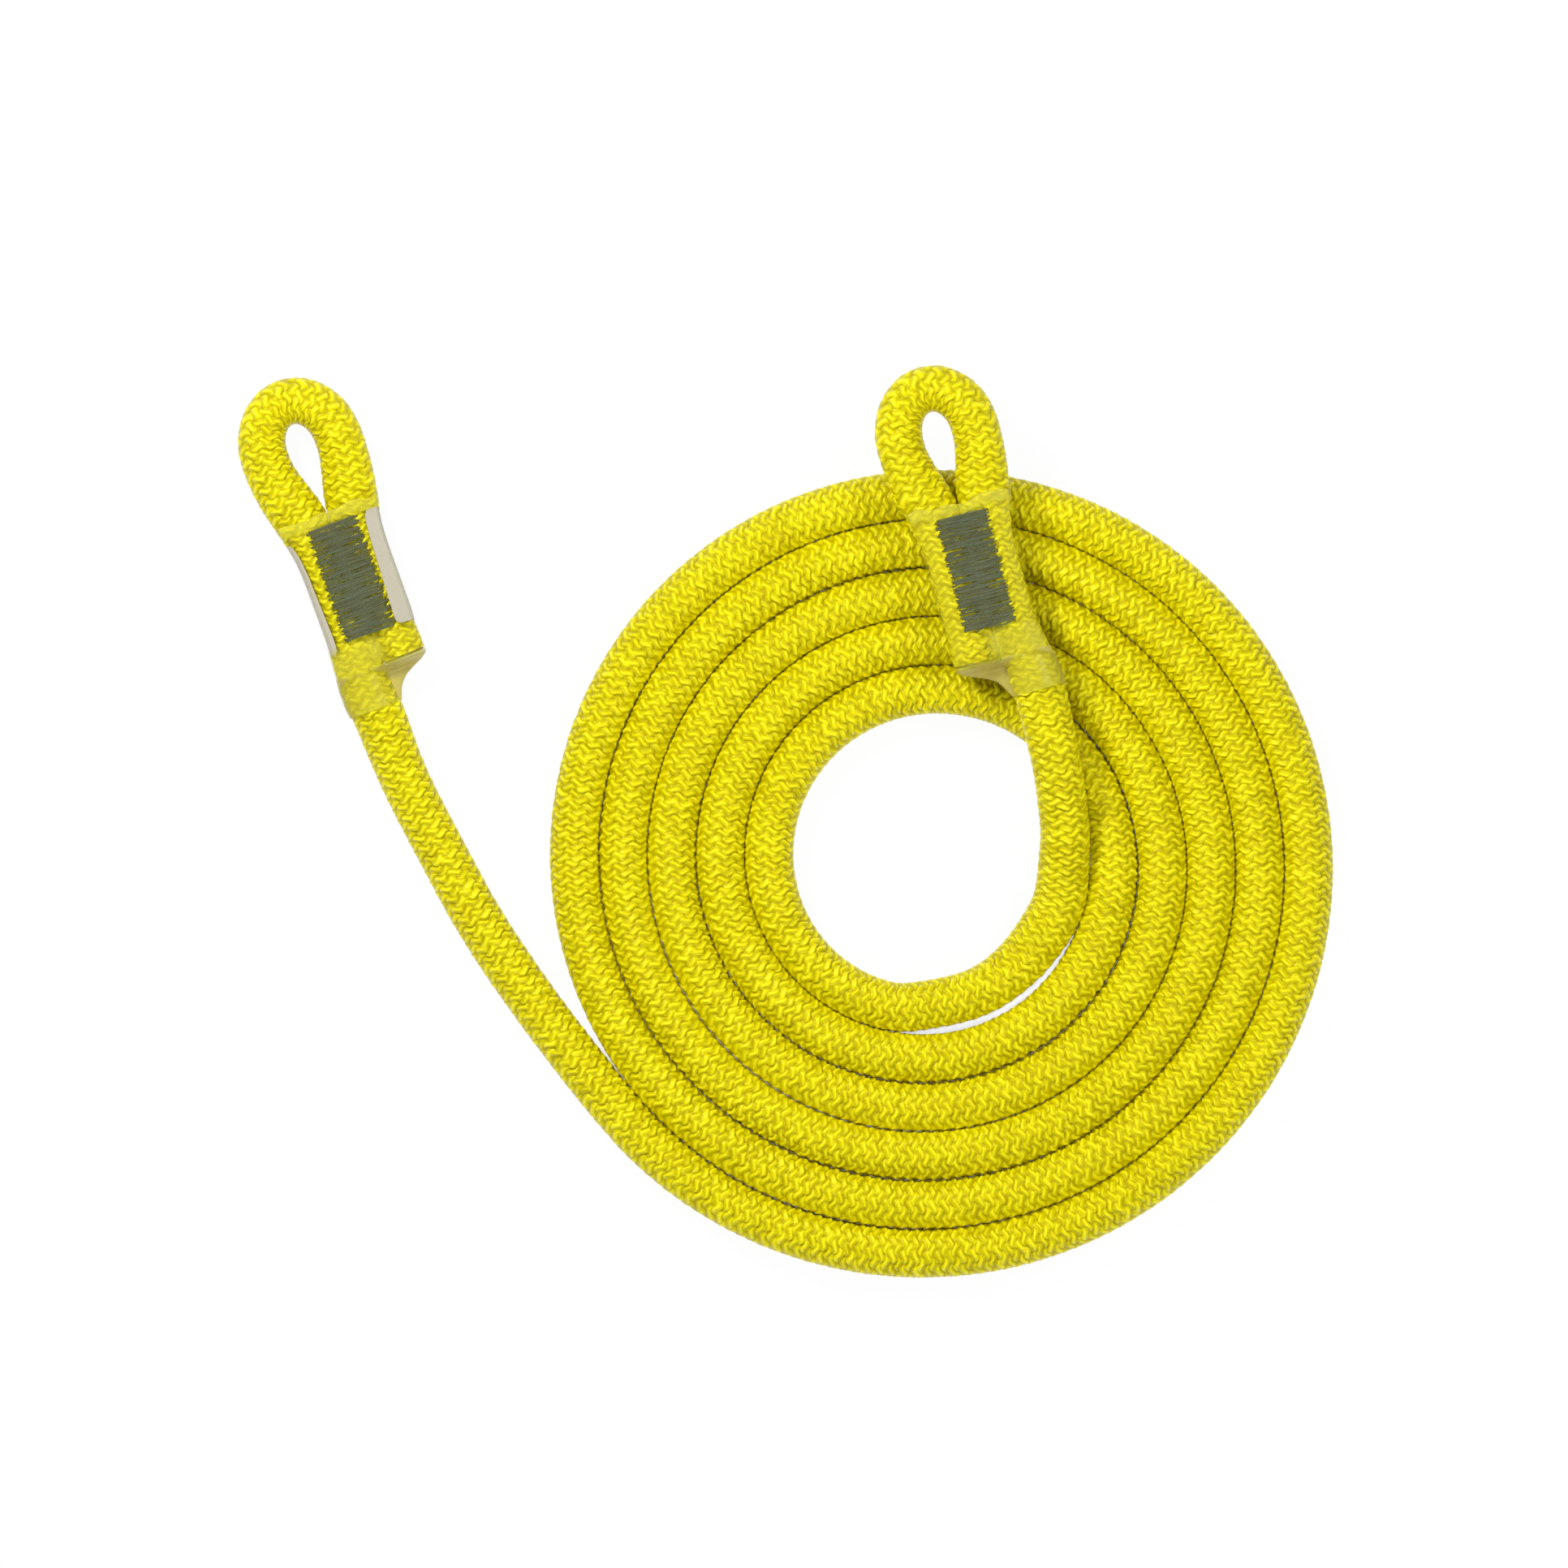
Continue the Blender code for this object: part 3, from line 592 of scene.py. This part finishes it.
def whole_route():
    """The rope's centreline from tail to tail with its half-width and half-height, and the names and ends of
    its stretches in millimetres along it."""
    turn_a = np.array(eye_matrix(EYE_A))[:3, 1]
    turn_b = np.array(eye_matrix(EYE_B))[:3, 1]
    eye_a, eye_b = eye_route(EYE_A)[::-1], eye_route(EYE_B)
    coil_end = COIL_TURNS * math.tau
    past = np.linspace(0, coil_end, 2000)
    coil, ways = coil_places(past)
    # The last turn sags a little towards the inner run.
    before_end, sag_reach, inwards, sag_wider = COIL_SAG
    sag = hump(past - coil_end, before_end, sag_reach)[:, None]
    coil = coil - unit(coil - (*COIL_CENTRE, ROPE_RADIUS)) * sag * inwards
    lead = np.array([coil[0] + (x, y, 0) for x, y in LEAD_ROUTE])
    lead[0, 2] = eye_a[-1, 2]
    lead = [lead[0] + turn_a * STEER, *lead, coil[0], coil[0] + ways[0] * STEER]
    inner = [inner_place(*stop) for stop in INNER_ROUTE]
    start_b = eye_b[0, :3]
    inner = [coil[-1] - ways[-1] * STEER, coil[-1], *inner, start_b, start_b + turn_b * STEER]
    lead, inner = smooth_through(np.array(lead)), smooth_through(np.array(inner))
    radii = [np.full((len(places), 2), ROPE_RADIUS) for places in (lead, coil, inner)]
    radii[1][:, :1] += sag_wider * sag
    # The rope spreads where it comes out of a sleeve, and where the inner run leans on the coil.
    near, *growth = SPREAD_OUT
    for places, radius, sleeve in ((lead, radii[0], 0), (inner, radii[2], -1)):
        radius += np.outer(hump(np.linalg.norm(places - places[sleeve], axis=1), 0, near), growth)
    at, reach, wider = INNER_SPREAD
    radii[2][:, 0] += wider * hump(travel(inner), at, reach)
    parts = (eye_a, *(np.column_stack(pair) for pair in zip((lead, coil, inner), radii)), eye_b)
    route = np.concatenate([eye_a, *(part[1:] for part in parts[1:])])
    return route, dict(zip(STRETCHES, np.cumsum([travel(part)[-1] for part in parts])))


# ---- Braid


def braid_relief(along, around, columns):
    """Height of the braid's surface, from 0 in a gap to about 1 on a float. along is in pitches and around in
    columns. Every column is a row of floats that lean the same way; the next column leans the other way and
    sits half a pitch on, so each float's ends slip in between two floats of the columns beside it. A float
    is two yarns side by side, a thick one and a thin one, with a crease between them."""
    chance = np.random.default_rng(11)
    count = int(along.max()) + 8
    lift, width, slip, twist, share = (chance.standard_normal((columns, count)).clip(-2, 2) for _ in range(5))
    total = np.full(np.broadcast(along, around).shape, 0.35**SOFTNESS)
    nearest = np.floor(around + 0.5)
    for step in (-1, 0, 1):
        column = nearest + step
        side = around - column
        which = np.mod(column, columns).astype(int)
        odd = np.mod(column, 2)
        across = along - 0.5 * odd - (1 - 2 * odd) * FLOAT_LEAN * np.sin(math.pi * side)
        index = np.floor(across + 0.5).astype(int) + 3
        across = across - np.floor(across + 0.5) - 0.03 * slip[which, index]
        across -= 0.04 * twist[which, index] * side
        arch = np.cos(math.pi / 2 * np.clip(side / FLOAT_REACH, -1, 1))
        half = FLOAT_HALF * (1 + 0.07 * width[which, index]) * arch**0.55 + 1e-4
        over = across / half * (1 - 2 * odd)
        crease = 0.35 + 0.12 * share[which, index]
        thick = (over + 1) / (crease + 1) * 2 - 1
        thin = (over - crease) / (1 - crease) * 2 - 1
        thick, thin = ((1 - yarn**2).clip(0) ** 0.7 for yarn in (thick, thin))
        body = thick + (0.85 + 0.1 * share[which, index]) * thin
        shoulder = (1 - over**2).clip(0)
        height = (1 + 0.08 * lift[which, index]) * (0.35 * body + 0.65 * shoulder) * arch**0.4
        total += height**SOFTNESS
    return (total ** (1 / SOFTNESS)).clip(0, 1.15)


def rope_frames(line):
    """At each point of the line, the directions sideways and upwards across the rope."""
    way = unit(np.gradient(line[:, :3], axis=0))
    side = unit(np.cross(way, (0, 0, 1)))
    return side, np.cross(side, way)


def strip_map(rows, across):
    """A map for the sheath's outside that lays it in strips one above the other, and its height in strips."""
    # So many strips make it about square: the rope is 37 mm round, and its rings count as 0.36 mm apart.
    strips = max(1, round(math.sqrt(rows * 0.36 / 37)))
    per = math.ceil((rows - 1) / strips)
    strip = np.arange((rows - 1) * across) // across // per

    def place(row, step):
        return (row - strip * per) / per * 0.99 + 0.005, strip + step / across * 0.98 + 0.01

    return map_quads(rows - 1, across, place), strips


def add_sheath(name, line, first, last, sizes, material):
    """The braided tube from ring first to ring last of the line: its outside, its lining and its two ends."""
    columns, pitch = sizes.columns, sizes.float_pitch / MM
    around = columns * COLUMN_STEPS
    rings = np.arange(first, last + 1)
    along = rings[:, None] / PITCH_STEPS
    column = np.arange(around)[None] / COLUMN_STEPS
    relief = braid_relief(along, column, columns)
    crown, depth, lining = (v / MM for v in (sizes.crown_radius, sizes.relief, sizes.lining_radius))
    squeeze = line[rings, 3:] / ROPE_RADIUS
    # Turns that lie side by side press each other's sides a little flatter and fuller.
    full = FLATTENED * np.abs(np.cos(math.tau * column / columns)) ** 8
    # The columns wander to and fro round the rope, in long waves.
    run = rings * pitch / PITCH_STEPS
    sway = 0.5 * np.sin(run / 130) + 0.4 * np.sin(run / 47 + 1)
    angle = math.tau * (column + sway[:, None]) / columns
    side, up = rope_frames(line)
    side, up, centre = side[rings, None], up[rings, None], line[rings, None, :3]
    wide, high = np.cos(angle) * squeeze[:, :1], np.sin(angle) * squeeze[:, 1:]
    arm = side * wide[..., None] + up * high[..., None]
    # On the inside of a tight bend the floats are squeezed together and the gaps between them are shallow.
    spacing = np.linalg.norm(np.diff(centre + arm * crown, axis=0), axis=-1) * PITCH_STEPS / pitch
    depth = depth * np.append(spacing, spacing[-1:], axis=0).clip(0.3, 1)
    radius = crown + PRESSED_OUT * full - depth * (1 - relief) * (1 - full)
    outside = centre + arm * radius[..., None]
    picked = np.unique(np.append(np.arange(0, len(rings), LINING_STEP), len(rings) - 1))
    inside = (centre + arm * lining)[picked]
    outer_quads = grid_quads(len(rings), around)
    inner_quads = grid_quads(len(picked), around)[:, ::-1]
    grids = [(outside.reshape(-1, 3), outer_quads), (inside.reshape(-1, 3), inner_quads)]
    points, quads = join_grids(grids)
    j = np.arange(around)
    k = (j + 1) % around
    lining_start, last_ring = outside.shape[0] * around, (len(rings) - 1) * around
    lining_end = lining_start + (len(picked) - 1) * around
    caps = [
        np.stack([j, k, lining_start + k, lining_start + j], -1),
        np.stack([last_ring + k, last_ring + j, lining_end + j, lining_end + k], -1),
    ]
    quads = np.concatenate([quads, *caps])
    made = add_piece(name, points, quads, material)
    crease_rings(made, (0, last_ring), around)
    add_numbers(made, "crown", np.concatenate([relief.ravel(), np.zeros(len(points) - relief.size)]))

    yarn = map_quads(len(rings) - 1, around, lambda r, s: ((first + r) / PITCH_STEPS, s / COLUMN_STEPS))
    rest = np.zeros((len(quads) - len(outer_quads), 4, 2))
    add_map(made, "yarn", np.concatenate([yarn, rest]))
    # The second map has the outside in strips. Above them lies a band with the lining and the two caps.
    strips, height = strip_map(len(rings), around)
    band = [strips]
    for rows, start, width, corners in (
        (len(picked) - 1, 0.05, 0.9, CORNERS[::-1]),
        (1, 0.005, 0.03, ((0, 0), (0, 1), (1, 1), (1, 0))),
        (1, 0.965, 0.03, ((0, 1), (0, 0), (1, 0), (1, 1))),
    ):

        def place(row, step):
            return start + row / rows * width, height + 0.02 + step / around * 0.14

        band.append(map_quads(rows, around, place, corners))
    add_map(made, "OFBake", np.concatenate(band) / (1, height + 0.18))
    return made


class ROPE_OT_braided_sheath(bpy.types.Operator):
    """Builds the braided sheath along the whole rope, in lengths that meet end to end"""

    bl_idname = "climbing_rope.braided_sheath"
    bl_label = "Braided sheath"

    def execute(self, context):
        sizes = context.scene.rope_sizes
        material = braided_polyamide()
        route, ends = whole_route()
        line = resample(route, sizes.float_pitch / MM / PITCH_STEPS)
        total = ends["eye_b"]
        start = 0
        for stretch, end in ends.items():
            stop = round(end / total * (len(line) - 1))
            count = COIL_PIECES if stretch == "coil" else 1
            cuts = np.linspace(start, stop, count + 1).round().astype(int)
            for i, (first, last) in enumerate(zip(cuts, cuts[1:])):
                name = f"braid_{stretch}_{i + 1}" if count > 1 else "braid_" + stretch
                made = add_sheath(name, line, first, last, sizes, material)
                keep(made, "braid", "sheath_" + stretch)
                if stretch.startswith("eye"):
                    continue
            start = stop
        return {"FINISHED"}


# ---- Core and marker tape


class ROPE_OT_core(bpy.types.Operator):
    """Gives the core and its marker tape, which stay as in the CAD model, their materials"""

    bl_idname = "climbing_rope.core"
    bl_label = "Core and marker tape"

    def execute(self, context):
        yarn, tape = twisted_core_yarn(), woven_marker_tape()
        for name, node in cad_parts.items():
            for start, material in (("core_", yarn), ("marker_tape_", tape)):
                if name.startswith(start):
                    node.data.materials.clear()
                    node.data.materials.append(material)
        return {"FINISHED"}


# ---- Stitching


def thread_tube(path, thickness, sides=8):
    """Points, quads and map of a thread along a path; its ends are closed."""
    way = unit(np.gradient(path, axis=0))
    side = unit(np.cross(way, (0, 1, 0)))
    up = np.cross(side, way)
    angle = math.tau * np.arange(sides) / sides
    arm = side[:, None] * np.cos(angle)[None, :, None] + up[:, None] * np.sin(angle)[None, :, None]
    shrink = np.ones(len(path))
    shrink[[0, -1]] = 0.05
    points = path[:, None] + arm * (thickness / 2 * shrink)[:, None, None]
    quads = grid_quads(len(path), sides)
    along = travel(path)
    return points.reshape(-1, 3), quads, map_quads(len(path) - 1, sides, lambda r, s: (along[r], s / sides))


def stitch_paths(sizes, seed):
    """Centrelines of the stitches on one side of an eye, in the eye's frame, seen from above. Each comes up
    out of one leg, crosses to the other over the valley between them, and goes down into it."""
    chance = np.random.default_rng(seed)
    pitch, thickness = sizes.thread_pitch / MM, sizes.thread / MM
    count = round(STITCH_LENGTH / pitch)
    t = np.linspace(-1, 1, 29)
    paths = []
    for i in range(count + 1):
        y = -STITCH_LENGTH / 2 + STITCH_LENGTH * i / count
        slant = pitch * (1.6 if i % 2 else -0.8) + 0.45 * chance.standard_normal()
        longer = np.array((i % 3 == 0, i % 3 == 1)) * 0.7
        left, right = STITCH_WIDTH / 2 - 0.5 + longer + 0.5 * chance.random(2)
        reach = np.where(t < 0, left, right)
        x = t * reach
        wander = 0.16 * chance.standard_normal() * np.sin(math.pi * t) + 0.1 * chance.standard_normal() * t**2
        valley = 0.5 * hump(x, 0, 1.5)
        dive = 1.5 * np.clip((np.abs(t) - 0.86) / 0.14, 0, 1) ** 2
        lie = 0.18 * chance.random()
        z = LEG_RADIUS + 0.36 + lie - valley - dive - 0.012 * np.clip(np.abs(x) - 3, 0, 9) ** 2
        paths.append(np.stack([x, y + slant * t / 2 + wander, z], -1))
    # The sewing starts and ends with a few stitches that lie crosswise over the others.
    for end in (-1, 1):
        for _ in range(4):
            x0, x1 = np.sort(chance.uniform(-5.6, 5.6, 2))
            x = x0 + (x1 - x0) * (t + 1) / 2
            y = end * (STITCH_LENGTH / 2 - chance.uniform(0.2, 2.4)) + chance.uniform(-1.2, 1.2) * t
            z = LEG_RADIUS + 0.5 + thickness * 0.2 * (1 - t**6) - 0.4 * hump(x, 0, 1.5) - 0.8 * t**8
            paths.append(np.stack([x, y, z], -1))
    return paths


class ROPE_OT_stitching(bpy.types.Operator):
    """Sews both eyes: a block of stitches on the front and one on the back of each"""

    bl_idname = "climbing_rope.stitching"
    bl_label = "Stitching"

    def execute(self, context):
        sizes = context.scene.rope_sizes
        material = polyester_thread()
        sides = [(eye, *side) for eye in (EYE_A, EYE_B) for side in (("needle", 1), ("bobbin", -1))]
        for seed, (eye, thread, side) in enumerate(sides):
            grids, maps, tones = [], [], []
            for path in stitch_paths(sizes, seed):
                points, quads, places = thread_tube(path * (side, 1, side), sizes.thread / MM)
                grids.append((from_eye(eye, points), quads))
                maps.append(places)
                tones.append(np.full(len(points), 0.5 + 0.5 * math.sin(7.3 * len(tones) ** 1.5)))
            points, quads = join_grids(grids)
            made = add_piece(f"{thread}_stitches_{eye.name}", points, quads, material)
            add_map(made, "thread", np.concatenate(maps))
            add_numbers(made, "tone", np.concatenate(tones))
            keep(made, "thread", f"{thread}_thread_{eye.name}")
        return {"FINISHED"}


# ---- Sleeves


def film_places(eye, y, angle, inset):
    """Places on the film for an eye whose tail is on +X: angle 0 is its edge past the tail, a quarter turn
    its front and half a turn its edge past the standing leg. inset is the depth under its outer face. Also
    gives how far each place is over nothing but film."""
    stops = np.array(SLEEVE)[::-1]
    standing, tail = (np.interp(y, stops[:, 0], stops[:, k]) - inset for k in (1, 2))
    below, neck = NECK
    aside = (eye.exit_offset - EYE_A.exit_offset) * np.clip((-y - below) / neck, 0, 1)
    standing, tail = standing + aside, tail - aside * np.clip((-y - 24) / 4, 0, 1)
    middle, half = (tail - standing) / 2, (tail + standing) / 2
    x = middle + half * np.cos(angle)
    down, end = rise(-y, *NECK), rise(-y, 22.6, 2.6)  # along the neck, and past the tail's end
    # The film's heights over the standing leg, over the tail, and where it bridges from one to the other
    leg_wide = np.minimum(FILM_OVER_LEG + 0.4 * down, half)
    leg = np.sqrt((1 - ((x + standing - leg_wide) / leg_wide) ** 2).clip(0))
    leg = (FILM_OVER_LEG + 0.35 * down - inset) * leg
    tail_wide = np.minimum(FILM_OVER_LEG, half)
    cap = np.sqrt((1 - ((x - tail + tail_wide) / tail_wide) ** 2).clip(0))
    cap = (FILM_OVER_LEG - inset) * (1 - end) * cap
    round_edge = np.abs(np.sin(angle))
    bridge = (5.95 - inset) * (1 - end) + (1.1 - 0.6 * inset) * end
    web = bridge * np.minimum(1, round_edge * half / 4.5) ** 0.6
    z = (leg**6 + cap**6 + web**6) ** (1 / 6) * np.sign(np.sin(angle))
    return x, z, np.clip((web - leg + 2.4 * end) / (0.8 + 2 * end), 0, 1) * rise(-y, 22.0, 1.4)


def sleeve_haze(eye, y, x, bare):
    """How milky the film is, from 0 to 1: clear over the stitching and the label, milky at the rim by the
    loop and over the standing leg below the stitching, and milkiest where it bridges a gap."""
    rim, low, neck = rise(y, 14.2, 1.6), rise(-y, 14.0, 3.0), rise(-y, 28.0, 4.0)
    side = 0.0 if eye.has_label else 0.07 * rise(np.abs(x), 6.4, 2.0)
    below = 0.03 + 0.17 * rise(-x, -1.5, 4.0) + 0.3 * hump(x, 0, 1.3) * (1 - rise(-y, 20.0, 3.0))
    return 0.03 + side + 0.28 * rim + low * below + 0.05 * neck + 0.55 * bare


def uneven(chance, size, angle, rates, wave):
    """Random waves round an edge, one for each rate."""
    return sum(chance.normal(0, size) * wave(k * angle + chance.uniform(0, math.tau)) for k in rates)


class ROPE_OT_sleeves(bpy.types.Operator):
    """Shrinks a clear sleeve over each eye's stitching and tail"""

    bl_idname = "climbing_rope.sleeves"
    bl_label = "Clear sleeves"

    def execute(self, context):
        material = shrunk_film()
        thickness = context.scene.rope_sizes.film / MM
        top, end = SLEEVE[0][0], SLEEVE[-1][0]
        rows, count = 150, 144
        for number, eye in enumerate((EYE_A, EYE_B)):
            chance = np.random.default_rng(40 + number)
            y = np.linspace(top, end, rows)[:, None]
            angle = np.linspace(0, math.tau, count, endpoint=False)[None]
            # Its rim by the loop is wavy, and shallow ripples run round it where it has shrunk most.
            wave = uneven(chance, 0.22, angle, range(2, 11), np.sin)
            ripple = np.zeros((rows, count))
            for _ in range(14):
                rate, phase = chance.uniform(0.5, 2.2), chance.uniform(0, math.tau)
                twist = chance.integers(1, 7)
                ripple += np.sin(y * rate + phase + twist * angle + np.sin(angle + phase))
            ripple *= 0.014 * np.clip((-y - 14) / 8, 0.15, 1)
            rings, hazes = [], []
            for inset, order in ((0.0, 1), (thickness, -1)):
                x, z, bare = film_places(eye, y, angle, inset)
                hazes.append(sleeve_haze(eye, y, x, bare)[::order])
                length = np.hypot(x - x.mean(1, keepdims=True), z)
                x, z = x + ripple * (x - x.mean(1, keepdims=True)) / length, z + ripple * z / length
                lifted = y + wave * rise(y, 11.0, top - 11.0)
                rings.append(np.stack([x, lifted, z], -1)[::order])
            outer, inner = rings
            foot = (outer[-1:] + inner[:1]) / 2 - (0, thickness * 0.35, 0)
            lip = (outer[:1] + inner[-1:]) / 2 + (0, thickness * 0.35, 0)
            points = np.concatenate([outer, foot, inner, lip])
            haze = np.concatenate([hazes[0], hazes[0][-1:], hazes[1], hazes[0][:1]])
            quads = grid_quads(len(points) + 1, count) % (len(points) * count)
            points[..., 0] *= -eye.hand
            if eye.hand > 0:
                quads = quads[:, ::-1]
            points = from_eye(eye, points.reshape(-1, 3))
            made = add_piece("film_sleeve_" + eye.name, points, quads, material)
            add_numbers(made, "haze", haze.ravel())
            keep(made, "film", "clear_sleeve_" + eye.name)
        return {"FINISHED"}


# ---- Label


class ROPE_OT_label(bpy.types.Operator):
    """Wraps the blank label round the back of eye A, under its sleeve"""

    bl_idname = "climbing_rope.label"
    bl_label = "Blank label"

    def execute(self, context):
        eye = EYE_A
        film = context.scene.rope_sizes.film / MM
        around, corner = LABEL_AROUND, LABEL_CORNER
        # Across it: from its edge on the tail's front, round behind, to its edge on the standing leg's front.
        across = np.unique(np.concatenate([np.linspace(0, around, 150), np.linspace(0, corner, 14)]))
        across = np.unique(np.concatenate([across, around - across]))
        edge = np.minimum(across, around - across).clip(0, corner)
        cut = corner - np.sqrt((corner**2 - (corner - edge) ** 2).clip(0))
        share = (across / around)[:, None]
        t = np.linspace(-1, 1, 61)[None]
        y = LABEL_SKEW * (0.5 - share) - 0.9 + t * (LABEL_HALF - cut)[:, None]
        first = np.radians(50 - 4.5 * y / LABEL_HALF)
        last = np.radians(-210 + 4.5 * y / LABEL_HALF)
        angle = first + (last - first) * share
        layers = []
        for inset in (film + 0.04, film + 0.04 + LABEL_THICKNESS):
            x, z, _ = film_places(eye, y, angle, inset)
            layers.append(np.stack([-eye.hand * x, y + 0 * x, z], -1))
        outer, inner = layers
        both = np.concatenate([outer, inner[:, ::-1]], 1)
        rows, count = both.shape[:2]
        caps = []
        for row, order in ((0, 1), (rows - 1, -1)):
            j = np.arange(count // 2 - 1)
            start = row * count
            cap = np.stack([start + j, start + j + 1, start + count - 2 - j, start + count - 1 - j], -1)
            caps.append(cap[:, ::order])
        quads = np.concatenate([grid_quads(rows, count), *caps])
        made = add_piece("blank_label_eye_a", from_eye(eye, both.reshape(-1, 3)), quads, label_film())
        keep(made, "label", "label_eye_a")
        return {"FINISHED"}


# ---- Melted ends


class ROPE_OT_melted_ends(bpy.types.Operator):
    """Seals both tails with a melted cap"""

    bl_idname = "climbing_rope.melted_ends"
    bl_label = "Melted ends"

    def execute(self, context):
        material = melted_polyamide()
        for number, eye in enumerate((EYE_A, EYE_B)):
            before, tail = (np.array((-eye.hand * place[1], place[0], 0.0)) for place in TAIL[1:])
            way = unit(tail - before)
            side = np.array((-way[1], way[0], 0.0))
            chance = np.random.default_rng(70 + number)
            sides = 72
            angle = math.tau * np.arange(sides) / sides
            wobble = uneven(chance, 0.05, angle, range(2, 14), np.cos)
            arm = np.outer(np.cos(angle), side) + np.outer(np.sin(angle), (0, 0, 1))
            rows = []
            for height, radius in MELTED_PROFILE:
                wide = radius + wobble * (radius / 5) ** 2
                high = height + 0.12 * wobble * (radius / 5)
                rows.append(tail + way * high[:, None] + arm * wide[:, None])
            base = rows[0] + (tail + way * 0.05 - rows[0]) * 0.99
            points = np.stack([base, *rows])
            quads = grid_quads(len(points), sides)
            points = from_eye(eye, points.reshape(-1, 3))
            made = add_piece("melted_end_" + eye.name, points, quads, material)
            keep(made, "melted", "melted_tip_" + eye.name)
        return {"FINISHED"}


# ---- Stage


class ROPE_OT_stage(bpy.types.Operator):
    """Sets up the floor, the lamps and the camera, which looks straight down on the rope"""

    bl_idname = "climbing_rope.stage"
    bl_label = "Floor, lamps and camera"

    def execute(self, context):
        scene = context.scene
        half, drop = 2000.0, -0.12
        corners = [(x * half, y * half, drop) for x, y in ((-1, -1), (1, -1), (1, 1), (-1, 1))]
        floor = add_piece("floor", corners, np.array(((0, 1, 2, 3),)), pale_floor())

        scene.world = scene.world or bpy.data.worlds.new("studio")
        scene.world.use_nodes = True
        sky = scene.world.node_tree
        # The rope is lit by a plain dim sky. The camera sees white where it looks past the floor.
        seen = add_node(sky, "LightPath", output="Is Camera Ray")
        strength = add_node(sky, "MapRange", {"Value": seen, "To Min": 0.32, "To Max": 1.0})
        set_inputs(sky.nodes["Background"], {"Color": (1, 1, 1, 1), "Strength": strength})

        # name, place, width, watts
        # The first lamp shades every float on one side, and the others put highlights on the rest.
        lamps = (
            ("key_lamp", (-380, 420, 600), 200, 4.9),
            ("right_lamp", (560, 260, 620), 200, 2.6),
            ("bottom_lamp", (60, -620, 620), 200, 2.6),
        )
        target = Vector((0, 0, 0))
        for name, place, width, watts in lamps:
            data = bpy.data.lights.new(name, "AREA")
            data.size = width * MM
            data.energy = watts
            lamp = bpy.data.objects.new(name, data)
            scene.collection.objects.link(lamp)
            lamp.location = Vector(place) * MM
            lamp.rotation_euler = (target - lamp.location).to_track_quat("-Z", "Y").to_euler()

        # The photograph is 386.4 mm wide at the rope and was taken from straight above.
        data = bpy.data.cameras.new("camera")
        data.type = "ORTHO"
        data.ortho_scale = 386.4 * MM
        camera = bpy.data.objects.new("camera", data)
        scene.collection.objects.link(camera)
        camera.location = (-0.46 * MM, 9.57 * MM, 1.0)
        data.clip_end = 10.0
        scene.camera = camera
        scene.view_settings.view_transform = "Standard"
        return {"FINISHED"}


class ROPE_PT_panel(bpy.types.Panel):
    """Lists the steps that dress the rope"""

    bl_idname = "ROPE_PT_panel"
    bl_label = "Climbing rope"
    bl_space_type = "VIEW_3D"
    bl_region_type = "UI"
    bl_category = "Climbing rope"

    def draw(self, context):
        for settings in (context.scene.rope_sizes, context.scene.rope_colours):
            for name in settings.__annotations__:
                self.layout.prop(settings, name)
        for operator in OPERATORS:
            self.layout.operator(operator.bl_idname)


OPERATORS = (
    ROPE_OT_stage,
    ROPE_OT_braided_sheath,
    ROPE_OT_core,
    ROPE_OT_stitching,
    ROPE_OT_sleeves,
    ROPE_OT_label,
    ROPE_OT_melted_ends,
)
CLASSES = (RopeSizes, RopeColours, *OPERATORS, ROPE_PT_panel)


def register():
    for made in CLASSES:
        bpy.utils.register_class(made)
    bpy.types.Scene.rope_sizes = bpy.props.PointerProperty(type=RopeSizes)
    bpy.types.Scene.rope_colours = bpy.props.PointerProperty(type=RopeColours)


def unregister():
    del bpy.types.Scene.rope_colours
    del bpy.types.Scene.rope_sizes
    for made in reversed(CLASSES):
        bpy.utils.unregister_class(made)


def main():
    register()
    for operator in OPERATORS:
        group, name = operator.bl_idname.split(".")
        getattr(getattr(bpy.ops, group), name)()


if __name__ == "__main__":
    main()
